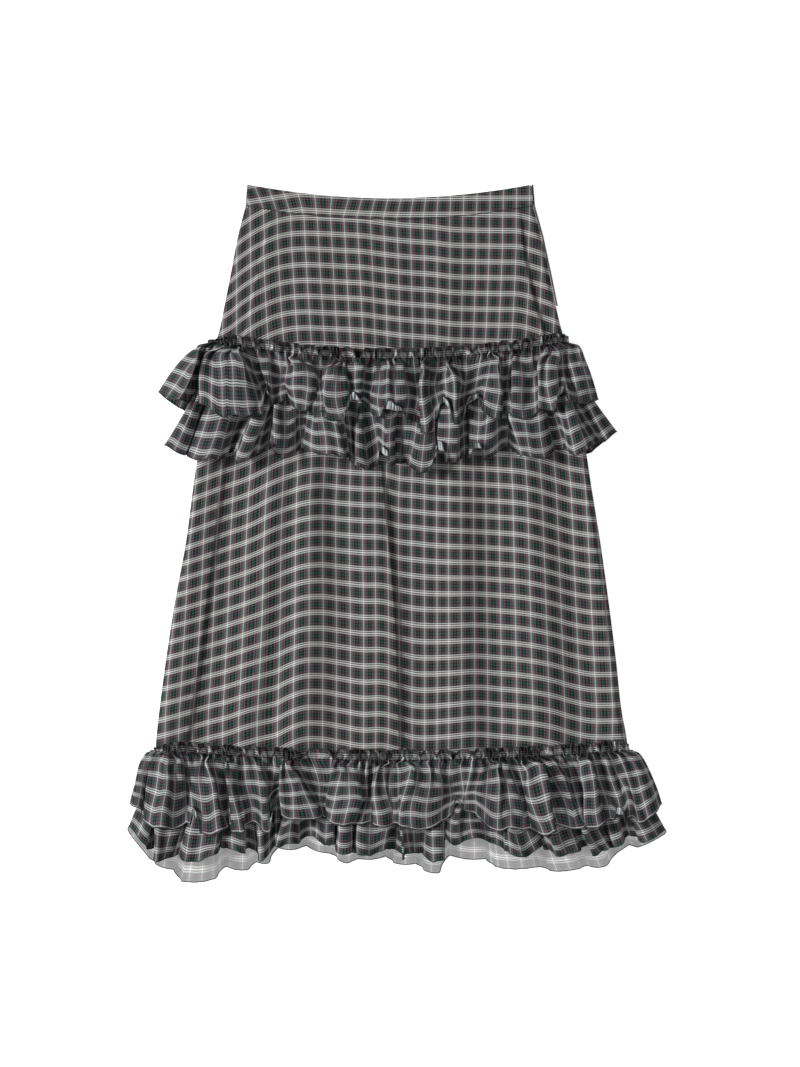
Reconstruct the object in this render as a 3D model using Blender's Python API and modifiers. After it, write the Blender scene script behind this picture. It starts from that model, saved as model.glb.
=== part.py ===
"""Tiered ruffle skirt, laid flat on its back with the front facing up.

An A-line skirt of a front and a back panel under a straight waistband, closed by a zip in the right side
seam. Two sets of gathered ruffles are sewn round it, one at hip height and one along the hem. Each set has
a short tier, whose header frill stands above the stitch line, over a long tier.

+Y points to the waist, +Z up. The origin is the middle of the footprint, on the surface it lies on.
Every size below is in millimetres. cloth() turns them into metres.
"""

from collections import namedtuple

import bmesh
import bpy
import numpy as np

MM = 0.001
NAME = "tiered_ruffle_skirt"

# Cloth walls and the clearance between pieces that are sewn together or lie on each other.
WALL = 1.0
BAND_WALL = 1.6
GAP = 0.3
STEP = WALL + GAP
MIDDLE = WALL / 2

# How far the squashed back ruffles hold the panels off the surface.
LIFT = 6.6

# The body's crossways rows, waist to hem: the height of the row's ends, its two ends, how far its middle
# sags below them, how high it is lifted and how far the front stands off the back there.
Row = namedtuple("Row", "y left right sag lift puff")
BAND_TOP = Row(411, -176, 159, 16, 0.0, 0.0)
WAIST_SEAM = Row(386, -178, 161, 16, 0.0, 0.0)
UPPER_GATHER = Row(224, -213, 199, 20, LIFT, 0.0)
HEM_GATHER = Row(-256, -284, 273, 12, LIFT, 0.0)
BODY_ROWS = (
    WAIST_SEAM,
    Row(350, -187, 171, 17, 0.0, 0.8),
    Row(303, -196, 181, 18, 0.0, 1.0),
    Row(268, -203, 188, 19, 0.0, 0.6),
    Row(238, -209, 195, 20, LIFT, 0.0),
    UPPER_GATHER,
    Row(157, -224, 211, 19, LIFT, 0.0),
    Row(78, -236, 226, 18, LIFT, 0.0),
    Row(44, -241, 231, 17, 0.0, 0.4),
    Row(-8, -248, 240, 16, 0.0, 1.0),
    Row(-79, -261, 250, 15, 0.0, 1.0),
    Row(-150, -272, 259, 14, 0.0, 1.0),
    Row(-212, -280, 266, 13, 0.0, 0.6),
    Row(-240, -283, 271, 12, LIFT, 0.0),
    HEM_GATHER._replace(y=-260),
)
BODY_COLUMNS = 15
BAND_COLUMNS = 15

# The front stands off the back by this much in the middle, and by the folds' height on top of it.
PUFF = 1.4
Fold = namedtuple("Fold", "top_x top_y low_x low_y half_width height")
FRONT_FOLDS = (
    Fold(-143, 385, -168, 225, 26, 1.2),
    Fold(150, 380, 158, 340, 24, 1.0),
    Fold(-198, 80, -240, -190, 30, 1.4),
    Fold(-14, 75, -2, -60, 28, 1.2),
    Fold(-123, -160, -140, -240, 26, 1.2),
    Fold(232, 98, 248, -240, 26, 1.2),
)

# One row for each flute of a ruffle: its two sides on the stitch line, and its two sides at the hem.
Flute = namedtuple("Flute", "top_left top_right hem_left hem_right left_y right_y")
UPPER_SHORT = (
    Flute(-222, -215, -281, -247, 167, 149),
    Flute(-207, -178, -232, -159, 146, 132),
    Flute(-168, -142, -153, -137, 157, 150),
    Flute(-133, -94, -128, -95, 151, 137),
    Flute(-82, -69, -87, -60, 136, 131),
    Flute(-60, -36, -51, -38, 145, 148),
    Flute(-27, 18, -29, 22, 137, 127),
    Flute(28, 42, 29, 43, 119, 124),
    Flute(53, 78, 53, 81, 137, 125),
    Flute(103, 123, 95, 121, 146, 133),
    Flute(139, 159, 137, 162, 133, 137),
    Flute(168, 188, 171, 203, 144, 149),
    Flute(196, 208, 212, 242, 149, 158),
)
UPPER_LONG = (
    Flute(-219, -214, -273, -250, 104, 87),
    Flute(-207, -163, -241, -201, 87, 87),
    Flute(-157, -142, -192, -161, 88, 88),
    Flute(-133, -114, -151, -117, 92, 89),
    Flute(-105, -67, -105, -54, 98, 84),
    Flute(-59, -41, -46, -33, 78, 74),
    Flute(-31, 4, -25, -1, 80, 80),
    Flute(12, 42, 8, 41, 76, 76),
    Flute(50, 78, 51, 76, 82, 84),
    Flute(91, 126, 84, 126, 84, 95),
    Flute(134, 161, 142, 184, 88, 92),
    Flute(169, 187, 193, 234, 92, 101),
    Flute(193, 204, 243, 260, 105, 121),
)
HEM_SHORT = (
    Flute(-291, -282, -314, -303, -317, -325),
    Flute(-273, -251, -294, -246, -341, -347),
    Flute(-244, -208, -236, -200, -347, -350),
    Flute(-201, -189, -192, -178, -348, -350),
    Flute(-180, -147, -170, -146, -346, -347),
    Flute(-136, -114, -136, -90, -325, -340),
    Flute(-78, -31, -78, -36, -338, -344),
    Flute(-24, -9, -28, -12, -342, -346),
    Flute(2, 58, -3, 54, -344, -345),
    Flute(87, 128, 78, 150, -330, -356),
    Flute(136, 158, 160, 192, -354, -346),
    Flute(166, 195, 201, 219, -348, -346),
    Flute(203, 224, 228, 247, -345, -342),
    Flute(232, 246, 255, 266, -338, -345),
    Flute(254, 282, 275, 317, -349, -350),
)
HEM_LONG = (
    Flute(-288, -280, -317, -293, -350, -383),
    Flute(-270, -240, -285, -262, -388, -397),
    Flute(-232, -210, -254, -211, -411, -406),
    Flute(-202, -179, -203, -173, -392, -397),
    Flute(-173, -147, -166, -149, -386, -389),
    Flute(-138, -114, -141, -114, -370, -372),
    Flute(-107, -78, -105, -78, -368, -378),
    Flute(-71, -43, -70, -56, -382, -390),
    Flute(-36, -9, -47, -12, -384, -380),
    Flute(-1, 18, -4, 23, -388, -389),
    Flute(25, 58, 31, 52, -395, -401),
    Flute(67, 98, 60, 106, -379, -384),
    Flute(106, 138, 115, 170, -393, -393),
    Flute(148, 177, 179, 218, -397, -395),
    Flute(185, 217, 226, 250, -392, -392),
    Flute(225, 247, 258, 273, -378, -366),
    Flute(256, 278, 281, 307, -367, -370),
)
# The front's long hem tier ends this far above the back's, which shows below it.
HEM_PEEK = 16
BACK_FLUTES = 10
BACK_SHORT_DROP = 76

# A flute's cross-section: how far across it, and how much of its height.
FRONT_PROFILE = ((0.0, 0.0), (0.2, 1.0), (0.8, 1.0), (1.0, 0.0))
BACK_PROFILE = ((0.0, 0.0), (0.5, 1.0), (1.0, 0.0))
FRONT_HEIGHT = 9.0
BACK_HEIGHT = 2.0

# The short tiers fan out fast below the stitch line, and the long ones under them later.
SHORT_FAN = 0.6
LONG_FAN = 1.3

# The rows of a tier: a depth below the stitch line, the share of the way from there to the hem, the height
# of the wall's middle in the valleys, the share of the flutes' height reached, and the height of the wall's
# middle at the side seams, where the front half lies on the back half.
TierRow = namedtuple("TierRow", "depth share valley rise edge")
HEADER = 13
NEAR, FAR = 22, 44
BACK_SHORT_ROWS = (
    TierRow(-HEADER, 0, 3.2, 0.0, 3.2),
    TierRow(0, 0, 4.5, 0.0, 4.5),
    TierRow(NEAR, 0, MIDDLE, 0.5, MIDDLE),
    TierRow(FAR, 0, MIDDLE, 1.0, MIDDLE),
    TierRow(FAR, 1, MIDDLE, 1.0, MIDDLE),
)
BACK_LONG_ROWS = (
    TierRow(0, 0, 5.8, 0.0, 5.8),
    TierRow(NEAR, 0, 3.8, 0.5, 3.8),
    TierRow(FAR, 0, 3.8, 1.0, 3.8),
    TierRow(FAR, 0.6, 3.8, 1.0, 3.8),
    TierRow(FAR, 1, MIDDLE, 1.0, MIDDLE),
)
UPPER_FRONT_LONG_ROWS = (
    TierRow(0, 0, 9.7, 0.0, 7.1),
    TierRow(NEAR, 0, 9.7, 0.5, 5.1),
    TierRow(FAR, 0, 9.7, 1.0, 5.1),
    TierRow(FAR, 0.6, 9.7, 1.0, 5.1),
    TierRow(FAR, 1, 9.7, 1.0, 1.8),
)
UPPER_FRONT_SHORT_ROWS = (
    TierRow(-HEADER, 0, 13.0, 0.0, 4.6),
    TierRow(0, 0, 11.0, 0.0, 5.8),
    TierRow(NEAR, 0, 15.7, 0.5, 1.8),
    TierRow(FAR, 0, 20.2, 1.0, 1.8),
    TierRow(FAR, 1, 20.2, 1.0, 1.8),
)
HEM_FRONT_LONG_ROWS = (
    TierRow(0, 0, 9.7, 0.0, 7.1),
    TierRow(NEAR, 0, 9.0, 0.5, 5.1),
    TierRow(FAR, 0, 7.6, 1.0, 5.1),
    TierRow(FAR, 0.6, 7.6, 1.0, 5.1),
    TierRow(FAR, 1, 5.8, 1.0, 3.0),
)
HEM_FRONT_SHORT_ROWS = (
    TierRow(-HEADER, 0, 13.0, 0.0, 4.6),
    TierRow(0, 0, 11.0, 0.0, 5.8),
    TierRow(NEAR, 0, 15.0, 0.5, 1.8),
    TierRow(FAR, 0, 18.2, 1.0, 1.8),
    TierRow(FAR, 1, 18.2, 1.0, 1.8),
)

# The closed zip in the right side seam, from the band's top to just above the upper ruffle.
ZIP_WIDTH = 2.0
ZIP_WALL = 2.0
ZIP_ROWS = (BAND_TOP, WAIST_SEAM, BODY_ROWS[1], BODY_ROWS[2], BODY_ROWS[3])

# Base colour, roughness and metallic value of each material.
Finish = namedtuple("Finish", "color roughness metallic")
PANEL_FINISH = Finish((0.075, 0.080, 0.082, 1.0), 0.85, 0.0)
RUFFLE_FINISH = Finish((0.095, 0.100, 0.102, 1.0), 0.80, 0.0)
BAND_FINISH = Finish((0.065, 0.070, 0.072, 1.0), 0.85, 0.0)
ZIP_FINISH = Finish((0.020, 0.020, 0.022, 1.0), 0.45, 0.0)


def clear_scene():
    for obj in list(bpy.data.objects):
        bpy.data.objects.remove(obj, do_unlink=True)


def mix(a, b, share):
    return a + (b - a) * share


def row_y(row, x):
    """Height in plan of a body row above the point x, sagging between the row's two ends."""
    across = (2 * x - row.left - row.right) / (row.right - row.left)
    return row.y - row.sag * (1 - min(across * across, 1.0))


def fold_height(x, y):
    """How far the front panel's soft folds raise the point (x, y)."""
    total = 0.0
    for fold in FRONT_FOLDS:
        along = (fold.top_y - y) / (fold.top_y - fold.low_y)
        middle = mix(fold.top_x, fold.low_x, along)
        if 0 <= along <= 1:
            total = max(total, fold.height * max(0.0, 1 - abs(x - middle) / fold.half_width))
    return total


def make_material(name, finish):
    material = bpy.data.materials.new(name)
    material.use_nodes = True
    shader = material.node_tree.nodes["Principled BSDF"]
    shader.inputs["Base Color"].default_value = finish.color
    shader.inputs["Roughness"].default_value = finish.roughness
    shader.inputs["Metallic"].default_value = finish.metallic
    return material


def cloth(name, points, wall, finish, collection):
    """A cloth wall of one thickness about the surface through points, an array [row, column, xyz] whose
    first row is nearest the waist."""
    rows, columns = points.shape[:2]
    mesh = bpy.data.meshes.new(name)
    grid = bmesh.new()
    bmesh.ops.create_grid(grid, x_segments=columns - 1, y_segments=rows - 1, size=1.0)
    for vert in grid.verts:
        column = round((vert.co.x + 1) / 2 * (columns - 1))
        row = round((1 - vert.co.y) / 2 * (rows - 1))
        vert.co = points[row, column] * MM
    grid.to_mesh(mesh)
    grid.free()
    obj = bpy.data.objects.new(name, mesh)
    collection.objects.link(obj)
    thick = obj.modifiers.new("thickness", "SOLIDIFY")
    thick.thickness = wall * MM
    thick.offset = 0.0
    thick.use_even_offset = True
    obj.data.materials.append(make_material(name, finish))
    obj.data.shade_smooth()
    obj.data.set_sharp_from_angle(angle=np.radians(40))
    return obj


def body_surface(rows, columns, bottom, raised):
    """The middle of a body wall. bottom is the wall middle's height over its row's lift, and raised adds the
    front's puff and folds."""
    surface = np.empty((len(rows), columns, 3))
    for i, row in enumerate(rows):
        for j, share in enumerate(np.linspace(0, 1, columns)):
            x = mix(row.left, row.right, share)
            y = row_y(row, x)
            stand_off = PUFF * (1 - (2 * share - 1) ** 4) + fold_height(x, y)
            surface[i, j] = x, y, row.lift + bottom + raised * row.puff * stand_off
    return surface


def make_panels(collection):
    back = body_surface(BODY_ROWS, BODY_COLUMNS, MIDDLE, 0.0)
    front = body_surface(BODY_ROWS, BODY_COLUMNS, MIDDLE + STEP, 1.0)
    cloth("back_panel", back, WALL, PANEL_FINISH, collection)
    cloth("front_panel", front, WALL, PANEL_FINISH, collection)


def make_waistband(collection):
    seam = WAIST_SEAM._replace(y=WAIST_SEAM.y + GAP)
    rows = (BAND_TOP, seam)
    back = body_surface(rows, BAND_COLUMNS, BAND_WALL / 2, 0.0)
    front = body_surface(rows, BAND_COLUMNS, BAND_WALL / 2 + BAND_WALL + GAP, 0.0)
    cloth("waistband_back", back, BAND_WALL, BAND_FINISH, collection)
    cloth("waistband_front", front, BAND_WALL, BAND_FINISH, collection)


def make_zip(collection):
    """A narrow closed zip just outside the ends of the body rows."""
    surface = np.empty((len(ZIP_ROWS), 2, 3))
    for i, row in enumerate(ZIP_ROWS):
        inner = row.right + GAP
        surface[i, 0] = inner, row.y, ZIP_WALL / 2
        surface[i, 1] = inner + ZIP_WIDTH, row.y, ZIP_WALL / 2
    cloth("side_zip", surface, ZIP_WALL, ZIP_FINISH, collection)


def even_flutes(front, count, drop, gather):
    """Back flutes between the side edges of a front tier, a constant drop below the stitch line."""
    first, last = front[0], front[-1]
    flutes = []
    for k in range(count):
        start, end = (2 * k) / (2 * count - 1), (2 * k + 1) / (2 * count - 1)
        tops = [mix(first.top_left, last.top_right, s) for s in (start, end)]
        hems = [mix(first.hem_left, last.hem_right, s) for s in (start, end)]
        ys = [row_y(gather, x) - drop for x in tops]
        flutes.append(Flute(*tops, *hems, *ys))
    flutes[0] = flutes[0]._replace(left_y=first.left_y)
    flutes[-1] = flutes[-1]._replace(right_y=last.right_y)
    return tuple(flutes)


def tier_surface(flutes, rows, gather, profile, height, fan_power):
    """The middle of a ruffle tier's wall, from its flutes and rows."""
    columns = [(flute, across, rise) for flute in flutes for across, rise in profile]
    surface = np.empty((len(rows), len(columns), 3))
    for j, (flute, across, rise) in enumerate(columns):
        top_x = mix(flute.top_left, flute.top_right, across)
        hem_x = mix(flute.hem_left, flute.hem_right, across)
        top_y = row_y(gather, top_x)
        full = top_y - mix(flute.left_y, flute.right_y, across)
        is_edge = j in (0, len(columns) - 1)
        for i, row in enumerate(rows):
            depth = row.depth + row.share * (full - row.depth)
            fan = (max(depth, 0) / full) ** fan_power
            z = row.edge if is_edge else row.valley + row.rise * rise * height
            surface[i, j] = mix(top_x, hem_x, fan), top_y - depth, z
    return surface


def make_ruffle_set(prefix, gather, short, long, back_long, front_rows, collection):
    """The four halves of one set of ruffles, back short tier lowest and front short tier on top."""
    short_rows, long_rows = front_rows
    back_short = even_flutes(short, BACK_FLUTES, BACK_SHORT_DROP, gather)
    halves = (
        ("short_back", back_short, BACK_SHORT_ROWS, BACK_PROFILE, BACK_HEIGHT, SHORT_FAN),
        ("long_back", back_long, BACK_LONG_ROWS, BACK_PROFILE, BACK_HEIGHT, LONG_FAN),
        ("long_front", long, long_rows, FRONT_PROFILE, FRONT_HEIGHT, LONG_FAN),
        ("short_front", short, short_rows, FRONT_PROFILE, FRONT_HEIGHT, SHORT_FAN),
    )
    for half, flutes, rows, profile, height, fan_power in halves:
        surface = tier_surface(flutes, rows, gather, profile, height, fan_power)
        cloth(f"{prefix}_{half}", surface, WALL, RUFFLE_FINISH, collection)


def make_upper_ruffle(collection):
    back_long = even_flutes(UPPER_LONG, BACK_FLUTES, 126, UPPER_GATHER)
    rows = (UPPER_FRONT_SHORT_ROWS, UPPER_FRONT_LONG_ROWS)
    make_ruffle_set(
        "upper_ruffle", UPPER_GATHER, UPPER_SHORT, UPPER_LONG, back_long, rows, collection
    )


def make_hem_ruffle(collection):
    front_long = [
        flute._replace(left_y=flute.left_y + HEM_PEEK, right_y=flute.right_y + HEM_PEEK)
        for flute in HEM_LONG
    ]
    rows = (HEM_FRONT_SHORT_ROWS, HEM_FRONT_LONG_ROWS)
    make_ruffle_set("hem_ruffle", HEM_GATHER, HEM_SHORT, front_long, HEM_LONG, rows, collection)


def main():
    clear_scene()
    collection = bpy.data.collections.new(NAME)
    bpy.context.scene.collection.children.link(collection)
    make_waistband(collection)
    make_panels(collection)
    make_zip(collection)
    make_upper_ruffle(collection)
    make_hem_ruffle(collection)


main()
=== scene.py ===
"""Looks of a tiered ruffle skirt that lies flat, front up, on a pale floor.

The file is laid out as an add-on with one operator for each group of pieces. Run as a script it makes them
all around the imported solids. Tables of cloth sizes are in millimetres and are turned into metres by MM.
+Y points to the waist and +Z up, as in the solids.
"""

from collections import namedtuple

import bpy
import numpy as np
from bpy.props import FloatProperty, FloatVectorProperty, IntProperty, PointerProperty
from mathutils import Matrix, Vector


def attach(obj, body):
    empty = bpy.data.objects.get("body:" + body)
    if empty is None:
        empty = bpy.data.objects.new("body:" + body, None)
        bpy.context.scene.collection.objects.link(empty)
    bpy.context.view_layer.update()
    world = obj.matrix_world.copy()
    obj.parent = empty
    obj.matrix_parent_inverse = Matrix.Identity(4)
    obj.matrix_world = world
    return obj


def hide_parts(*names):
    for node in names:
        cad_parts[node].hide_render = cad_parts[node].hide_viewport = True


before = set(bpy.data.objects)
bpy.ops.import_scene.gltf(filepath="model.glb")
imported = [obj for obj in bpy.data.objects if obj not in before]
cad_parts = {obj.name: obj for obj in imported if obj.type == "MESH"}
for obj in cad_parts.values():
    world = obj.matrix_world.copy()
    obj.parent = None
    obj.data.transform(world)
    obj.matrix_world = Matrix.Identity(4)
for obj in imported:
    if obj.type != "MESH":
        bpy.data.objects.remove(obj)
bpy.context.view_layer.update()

bl_info = {
    "name": "Tiered Ruffle Skirt",
    "version": (1, 0, 0),
    "blender": (4, 5, 0),
    "location": "3D View > Sidebar > Skirt",
    "description": "Makes the plaid chiffon pieces of a tiered ruffle skirt that lies flat",
    "category": "Add Mesh",
}

MM = 0.001
BODY = "root"
# Names of the cloth coordinates, of the flag on hems and seams, and of the share that shows the underside.
UV_NAME = "cloth"
HEM_FLAG = "hem"
TURNED = "turned"

# ---------------------------------------------------------------------------------------------------------
# The garment's sizes, in millimetres
# ---------------------------------------------------------------------------------------------------------

# How far the squashed back ruffles hold the panels off the floor, the step from one panel to the next and the
# height of the lowest one.
LIFT = 6.6
STEP = 1.3
CLOTH_MIDDLE = 0.5

# The body's crossways rows, waist to hem: the height of the row's ends, its two ends, how far its middle
# sags below them, how high it is lifted and how far the front stands off the back there.
Row = namedtuple("Row", "y left right sag lift puff")
BAND_TOP = Row(411, -176, 160, 16, 0.0, 0.0)
WAIST_SEAM = Row(386, -178, 161, 16, 0.0, 0.0)
UPPER_GATHER = Row(224, -213, 199, 20, LIFT, 0.0)
HEM_GATHER = Row(-256, -284, 273, 12, LIFT, 0.0)
BODY_ROWS = (
    WAIST_SEAM,
    Row(350, -187, 171, 17, 0.0, 0.8),
    Row(303, -196, 181, 18, 0.0, 1.0),
    Row(268, -203, 188, 19, 0.0, 1.0),
    Row(238, -209, 195, 20, 1.2, 0.8),
    UPPER_GATHER,
    Row(157, -224, 211, 19, LIFT, 0.0),
    Row(104, -232, 222, 18, 5.8, 0.2),
    Row(60, -239, 229, 17, 0.4, 0.9),
    Row(-8, -248, 240, 16, 0.0, 1.0),
    Row(-79, -261, 250, 15, 0.0, 1.0),
    Row(-150, -272, 259, 14, 0.0, 1.0),
    Row(-212, -280, 266, 13, 0.0, 1.0),
    Row(-240, -283, 271, 12, 1.6, 0.7),
    HEM_GATHER._replace(y=-260),
)

# How far the plaid's crossways bands hang below their highest point, at points across the panel: above the
# upper ruffle, below it and near the hem. Then how far its upright lines lean aside down to the upper ruffle,
# and how far they fan out below it.
Hang = namedtuple("Hang", "x upper lower bottom lean fan")
PLAID_HANG = (
    Hang(-300, 68, 70, 60, 0, -22),
    Hang(-270, 60, 62, 52, 0, -21),
    Hang(-242, 54, 53.5, 44, 0, -20),
    Hang(-220, 48, 45.5, 37.5, 0, -17),
    Hang(-200, 40, 37.8, 32, -1, -14),
    Hang(-180, 25, 31, 25, 1, -12),
    Hang(-165, 15.5, 24.6, 20.5, 3, -10),
    Hang(-154, 10, 19, 17.8, 6, -8),
    Hang(-142, 5, 13.5, 14.5, 8, -7),
    Hang(-126, 1.2, 7.5, 6.6, 9.5, -5.5),
    Hang(-109, 0, 2.3, 0.9, 10, -4),
    Hang(-90, 0.5, 0, 0.5, 10, -2.5),
    Hang(-66, 1.5, 2, 4.3, 9, -1.2),
    Hang(-40, 3, 4, 8.2, 8, 0),
    Hang(-16, 6, 5.2, 8, 5, 0),
    Hang(4, 8.4, 10.2, 12.9, 4, 0),
    Hang(22, 9.8, 12, 17.3, 2.5, 0),
    Hang(40, 11, 14, 17.7, 1, 0),
    Hang(63, 13.8, 15.6, 16, -2, 0),
    Hang(90, 14.8, 16.8, 13.8, -4.5, 2),
    Hang(122, 15.6, 18.6, 16.3, -7, 4),
    Hang(145, 16.4, 20.6, 18.1, -6.4, 6),
    Hang(165, 22, 24.4, 20.4, -5.5, 8),
    Hang(185, 29, 30, 24.5, -4, 10),
    Hang(205, 37, 35.7, 30.7, -3, 12),
    Hang(225, 45, 39.2, 35.1, -2, 14),
    Hang(260, 60, 41, 35.5, 0, 17),
    Hang(300, 70, 42, 35, 0, 20),
)

# Upright folds of the front panel, above and below the upper ruffle: each line is a crest or a trough, with
# its place at three heights and how high the cloth stands there. Two lines close together make a sharp
# crease.
Fold = namedtuple("Fold", "high middle low rise")
UPPER_FOLD_AT = (380, 300, 224)
UPPER_FOLDS = (
    Fold(-176, -182, -206, 0.7),
    Fold(-171, -173, -193, 1.8),
    Fold(-147.5, -166.5, -182, 1.5),
    Fold(-143.5, -162.5, -177, 5.4),
    Fold(-114, -119, -137, 2.8),
    Fold(-97, -100, -114, 3.4),
    Fold(-62, -65, -76, 0.9),
    Fold(-41, -38, -41, 3.0),
    Fold(-27, -19, -15, 1.1),
    Fold(-3, 2, 9, 2.5),
    Fold(28, 29, 32, 1.1),
    Fold(54, 58, 63, 3.9),
    Fold(80, 87, 91, 1.4),
    Fold(117, 127, 136, 4.6),
    Fold(143, 153, 172, 4.6),
    Fold(147, 158, 178, 0.3),
    Fold(159, 175, 195, 2.3),
)
LOWER_FOLD_AT = (86, -85, -250)
LOWER_FOLDS = (
    Fold(-235, -261, -284, 5.1),
    Fold(-225, -247, -266, 8.7),
    Fold(-205, -225, -248, 7.0),
    Fold(-196, -217, -241, 1.4),
    Fold(-189, -208, -233, 0.9),
    Fold(-139, -158, -176, 10.2),
    Fold(-124, -133, -152, 6.1),
    Fold(-103, -107, -119, 14.5),
    Fold(-76, -61, -67, 4.6),
    Fold(-29, -17, -22, 9.9),
    Fold(-19, -3, 3, 9.2),
    Fold(-14, 1.5, 8, 2.6),
    Fold(-3, 16, 21, 1.7),
    Fold(40, 42, 40, 4.6),
    Fold(71, 73, 75, 12.8),
    Fold(107, 113, 119, 4.9),
    Fold(150, 165, 169, 13.3),
    Fold(195, 212, 219, 3.8),
    Fold(221, 245, 265, 9.4),
)

# One row for each flute of a ruffle: its two sides on the stitch line, and its two sides at the hem.
# The last column flattens a flute that lies open.
Flute = namedtuple("Flute", "top_left top_right hem_left hem_right left_y right_y rise", defaults=[1.0])
UPPER_SHORT = (
    Flute(-217, -212, -281, -247, 167, 149),
    Flute(-207, -178, -232, -159, 146, 132),
    Flute(-168, -142, -153, -137, 157, 150),
    Flute(-133, -94, -128, -95, 151, 137),
    Flute(-82, -69, -87, -60, 136, 131),
    Flute(-60, -36, -51, -38, 145, 148),
    Flute(-27, 18, -29, 22, 137, 127),
    Flute(28, 42, 29, 43, 119, 124),
    Flute(53, 78, 53, 81, 137, 125),
    Flute(103, 123, 95, 121, 146, 133),
    Flute(139, 159, 137, 162, 133, 137),
    Flute(168, 188, 171, 203, 144, 149),
    Flute(194, 203, 212, 238, 149, 158),
)
UPPER_LONG = (
    Flute(-216, -211, -273, -250, 104, 87, 0.25),
    Flute(-207, -163, -241, -201, 87, 87),
    Flute(-157, -142, -192, -161, 88, 88),
    Flute(-133, -114, -151, -117, 92, 89),
    Flute(-105, -67, -105, -54, 98, 84),
    Flute(-59, -41, -46, -33, 78, 74),
    Flute(-31, 4, -25, -1, 80, 80),
    Flute(12, 42, 8, 41, 76, 76),
    Flute(50, 78, 51, 76, 82, 84),
    Flute(91, 126, 84, 126, 84, 95),
    Flute(134, 161, 142, 184, 88, 92),
    Flute(169, 187, 193, 234, 92, 101),
    Flute(193, 202, 243, 260, 105, 121),
)
HEM_SHORT = (
    Flute(-285, -279, -314, -301, -317, -325, 0.4),
    Flute(-273, -251, -294, -246, -341, -347),
    Flute(-244, -208, -236, -200, -347, -350),
    Flute(-201, -189, -192, -178, -348, -350),
    Flute(-180, -147, -170, -146, -346, -347),
    Flute(-136, -114, -136, -90, -325, -340),
    Flute(-78, -31, -78, -36, -338, -344),
    Flute(-24, -9, -28, -12, -342, -346),
    Flute(2, 58, -3, 54, -344, -345),
    Flute(87, 128, 78, 150, -330, -356),
    Flute(136, 158, 160, 192, -354, -346),
    Flute(166, 195, 201, 219, -348, -346),
    Flute(203, 224, 228, 247, -345, -342),
    Flute(232, 246, 255, 266, -338, -345),
    Flute(254, 275, 285, 313, -345, -318),
)
HEM_LONG = (
    Flute(-288, -280, -317, -293, -350, -383),
    Flute(-270, -240, -285, -262, -388, -397),
    Flute(-232, -210, -254, -211, -411, -406),
    Flute(-202, -179, -203, -173, -392, -397),
    Flute(-173, -147, -166, -149, -386, -389),
    Flute(-138, -114, -141, -114, -370, -372),
    Flute(-107, -78, -105, -78, -368, -378),
    Flute(-71, -43, -70, -56, -382, -390),
    Flute(-36, -9, -47, -12, -384, -380),
    Flute(-1, 18, -4, 23, -388, -389),
    Flute(25, 58, 31, 52, -395, -401),
    Flute(67, 98, 60, 106, -379, -384),
    Flute(106, 138, 115, 170, -393, -393),
    Flute(148, 177, 179, 218, -397, -395),
    Flute(185, 217, 226, 250, -392, -392),
    Flute(225, 247, 258, 273, -378, -366),
    Flute(256, 278, 283, 318, -372, -354),
)
# How far each hem flute's sheer back layer hangs below the front one.
HEM_PEEKS = (6, 10, 27, 22, 6, 5, 9, 10, 6, 9, 14, 20, 18, 20, 18, 7, 5)
HEM_LONG_FRONT = tuple(
    flute._replace(left_y=flute.left_y + peek, right_y=flute.right_y + peek)
    for flute, peek in zip(HEM_LONG, HEM_PEEKS)
)
# How many even flutes a back half has, and how far a header stands above its stitch line.
BACK_FLUTES = 12
HEADER = 13.0

# A level gives, at a depth below the stitch line, the height of a ruffle's valleys and of its side edges,
# and how far its flutes stand above the valleys.
Level = namedtuple("Level", "depth valley edge flute")
UPPER_SHORT_LEVELS = (
    Level(-HEADER, 11.0, 4.6, 4),
    Level(0, 10.9, 5.8, 5),
    Level(8, 11.0, 4.0, 9),
    Level(20, 11.0, 2.6, 13),
    Level(50, 11.0, 1.8, 16),
    Level(82, 11.0, 1.8, 17.5),
)
UPPER_LONG_LEVELS = (
    Level(0, 9.6, 7.1, 2.2),
    Level(22, 8.6, 5.0, 4.2),
    Level(66, 8.6, 4.0, 5.4),
    Level(92, 8.8, 4.0, 11),
    Level(134, 8.8, 2.2, 17),
)
HEM_SHORT_LEVELS = (
    Level(-HEADER, 11.0, 4.6, 4),
    Level(0, 10.9, 5.8, 5),
    Level(8, 10.8, 4.0, 9),
    Level(20, 10.0, 2.6, 13),
    Level(50, 9.5, 1.8, 16),
    Level(87, 8.5, 1.8, 17.5),
)
HEM_LONG_LEVELS = (
    Level(0, 9.6, 7.1, 2.2),
    Level(22, 8.6, 5.0, 3.6),
    Level(70, 7.4, 4.0, 4.8),
    Level(92, 5.6, 3.4, 10),
    Level(118, 5.0, 2.6, 14),
)
BACK_SHORT_LEVELS = (
    Level(-HEADER, 3.2, 3.6, 1),
    Level(0, 4.5, 5.8, 1),
    Level(22, 0.7, 2.0, 1.6),
    Level(130, 0.7, 1.8, 1.6),
)
BACK_LONG_LEVELS = (
    Level(0, 5.8, 7.1, 1),
    Level(22, 3.8, 5.0, 1.6),
    Level(80, 3.2, 4.0, 1.6),
    Level(100, 1.4, 3.2, 1.4),
    Level(135, 0.8, 2.2, 0.9),
)

# The part of a crest above one height sinks by a share, under the cloth's own weight, and the part that is
# still above a second height sinks again.
CREST_FROM = 28.0
CREST_FLATTENING = 0.3
CREST_LIMIT = 36.0
TOP_FLATTENING = 0.5

# How far a tier's cloth stays above the panel or the tier under it, and above its own back half.
TIER_GAP = 0.9
LINING_GAP = 0.3
# The width of the cells in which the height of the cloth below is kept.
HEIGHT_CELL = 2.0

# No cloth lies lower than a rolled hem lets it.
FLOOR_GAP = 0.6

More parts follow.
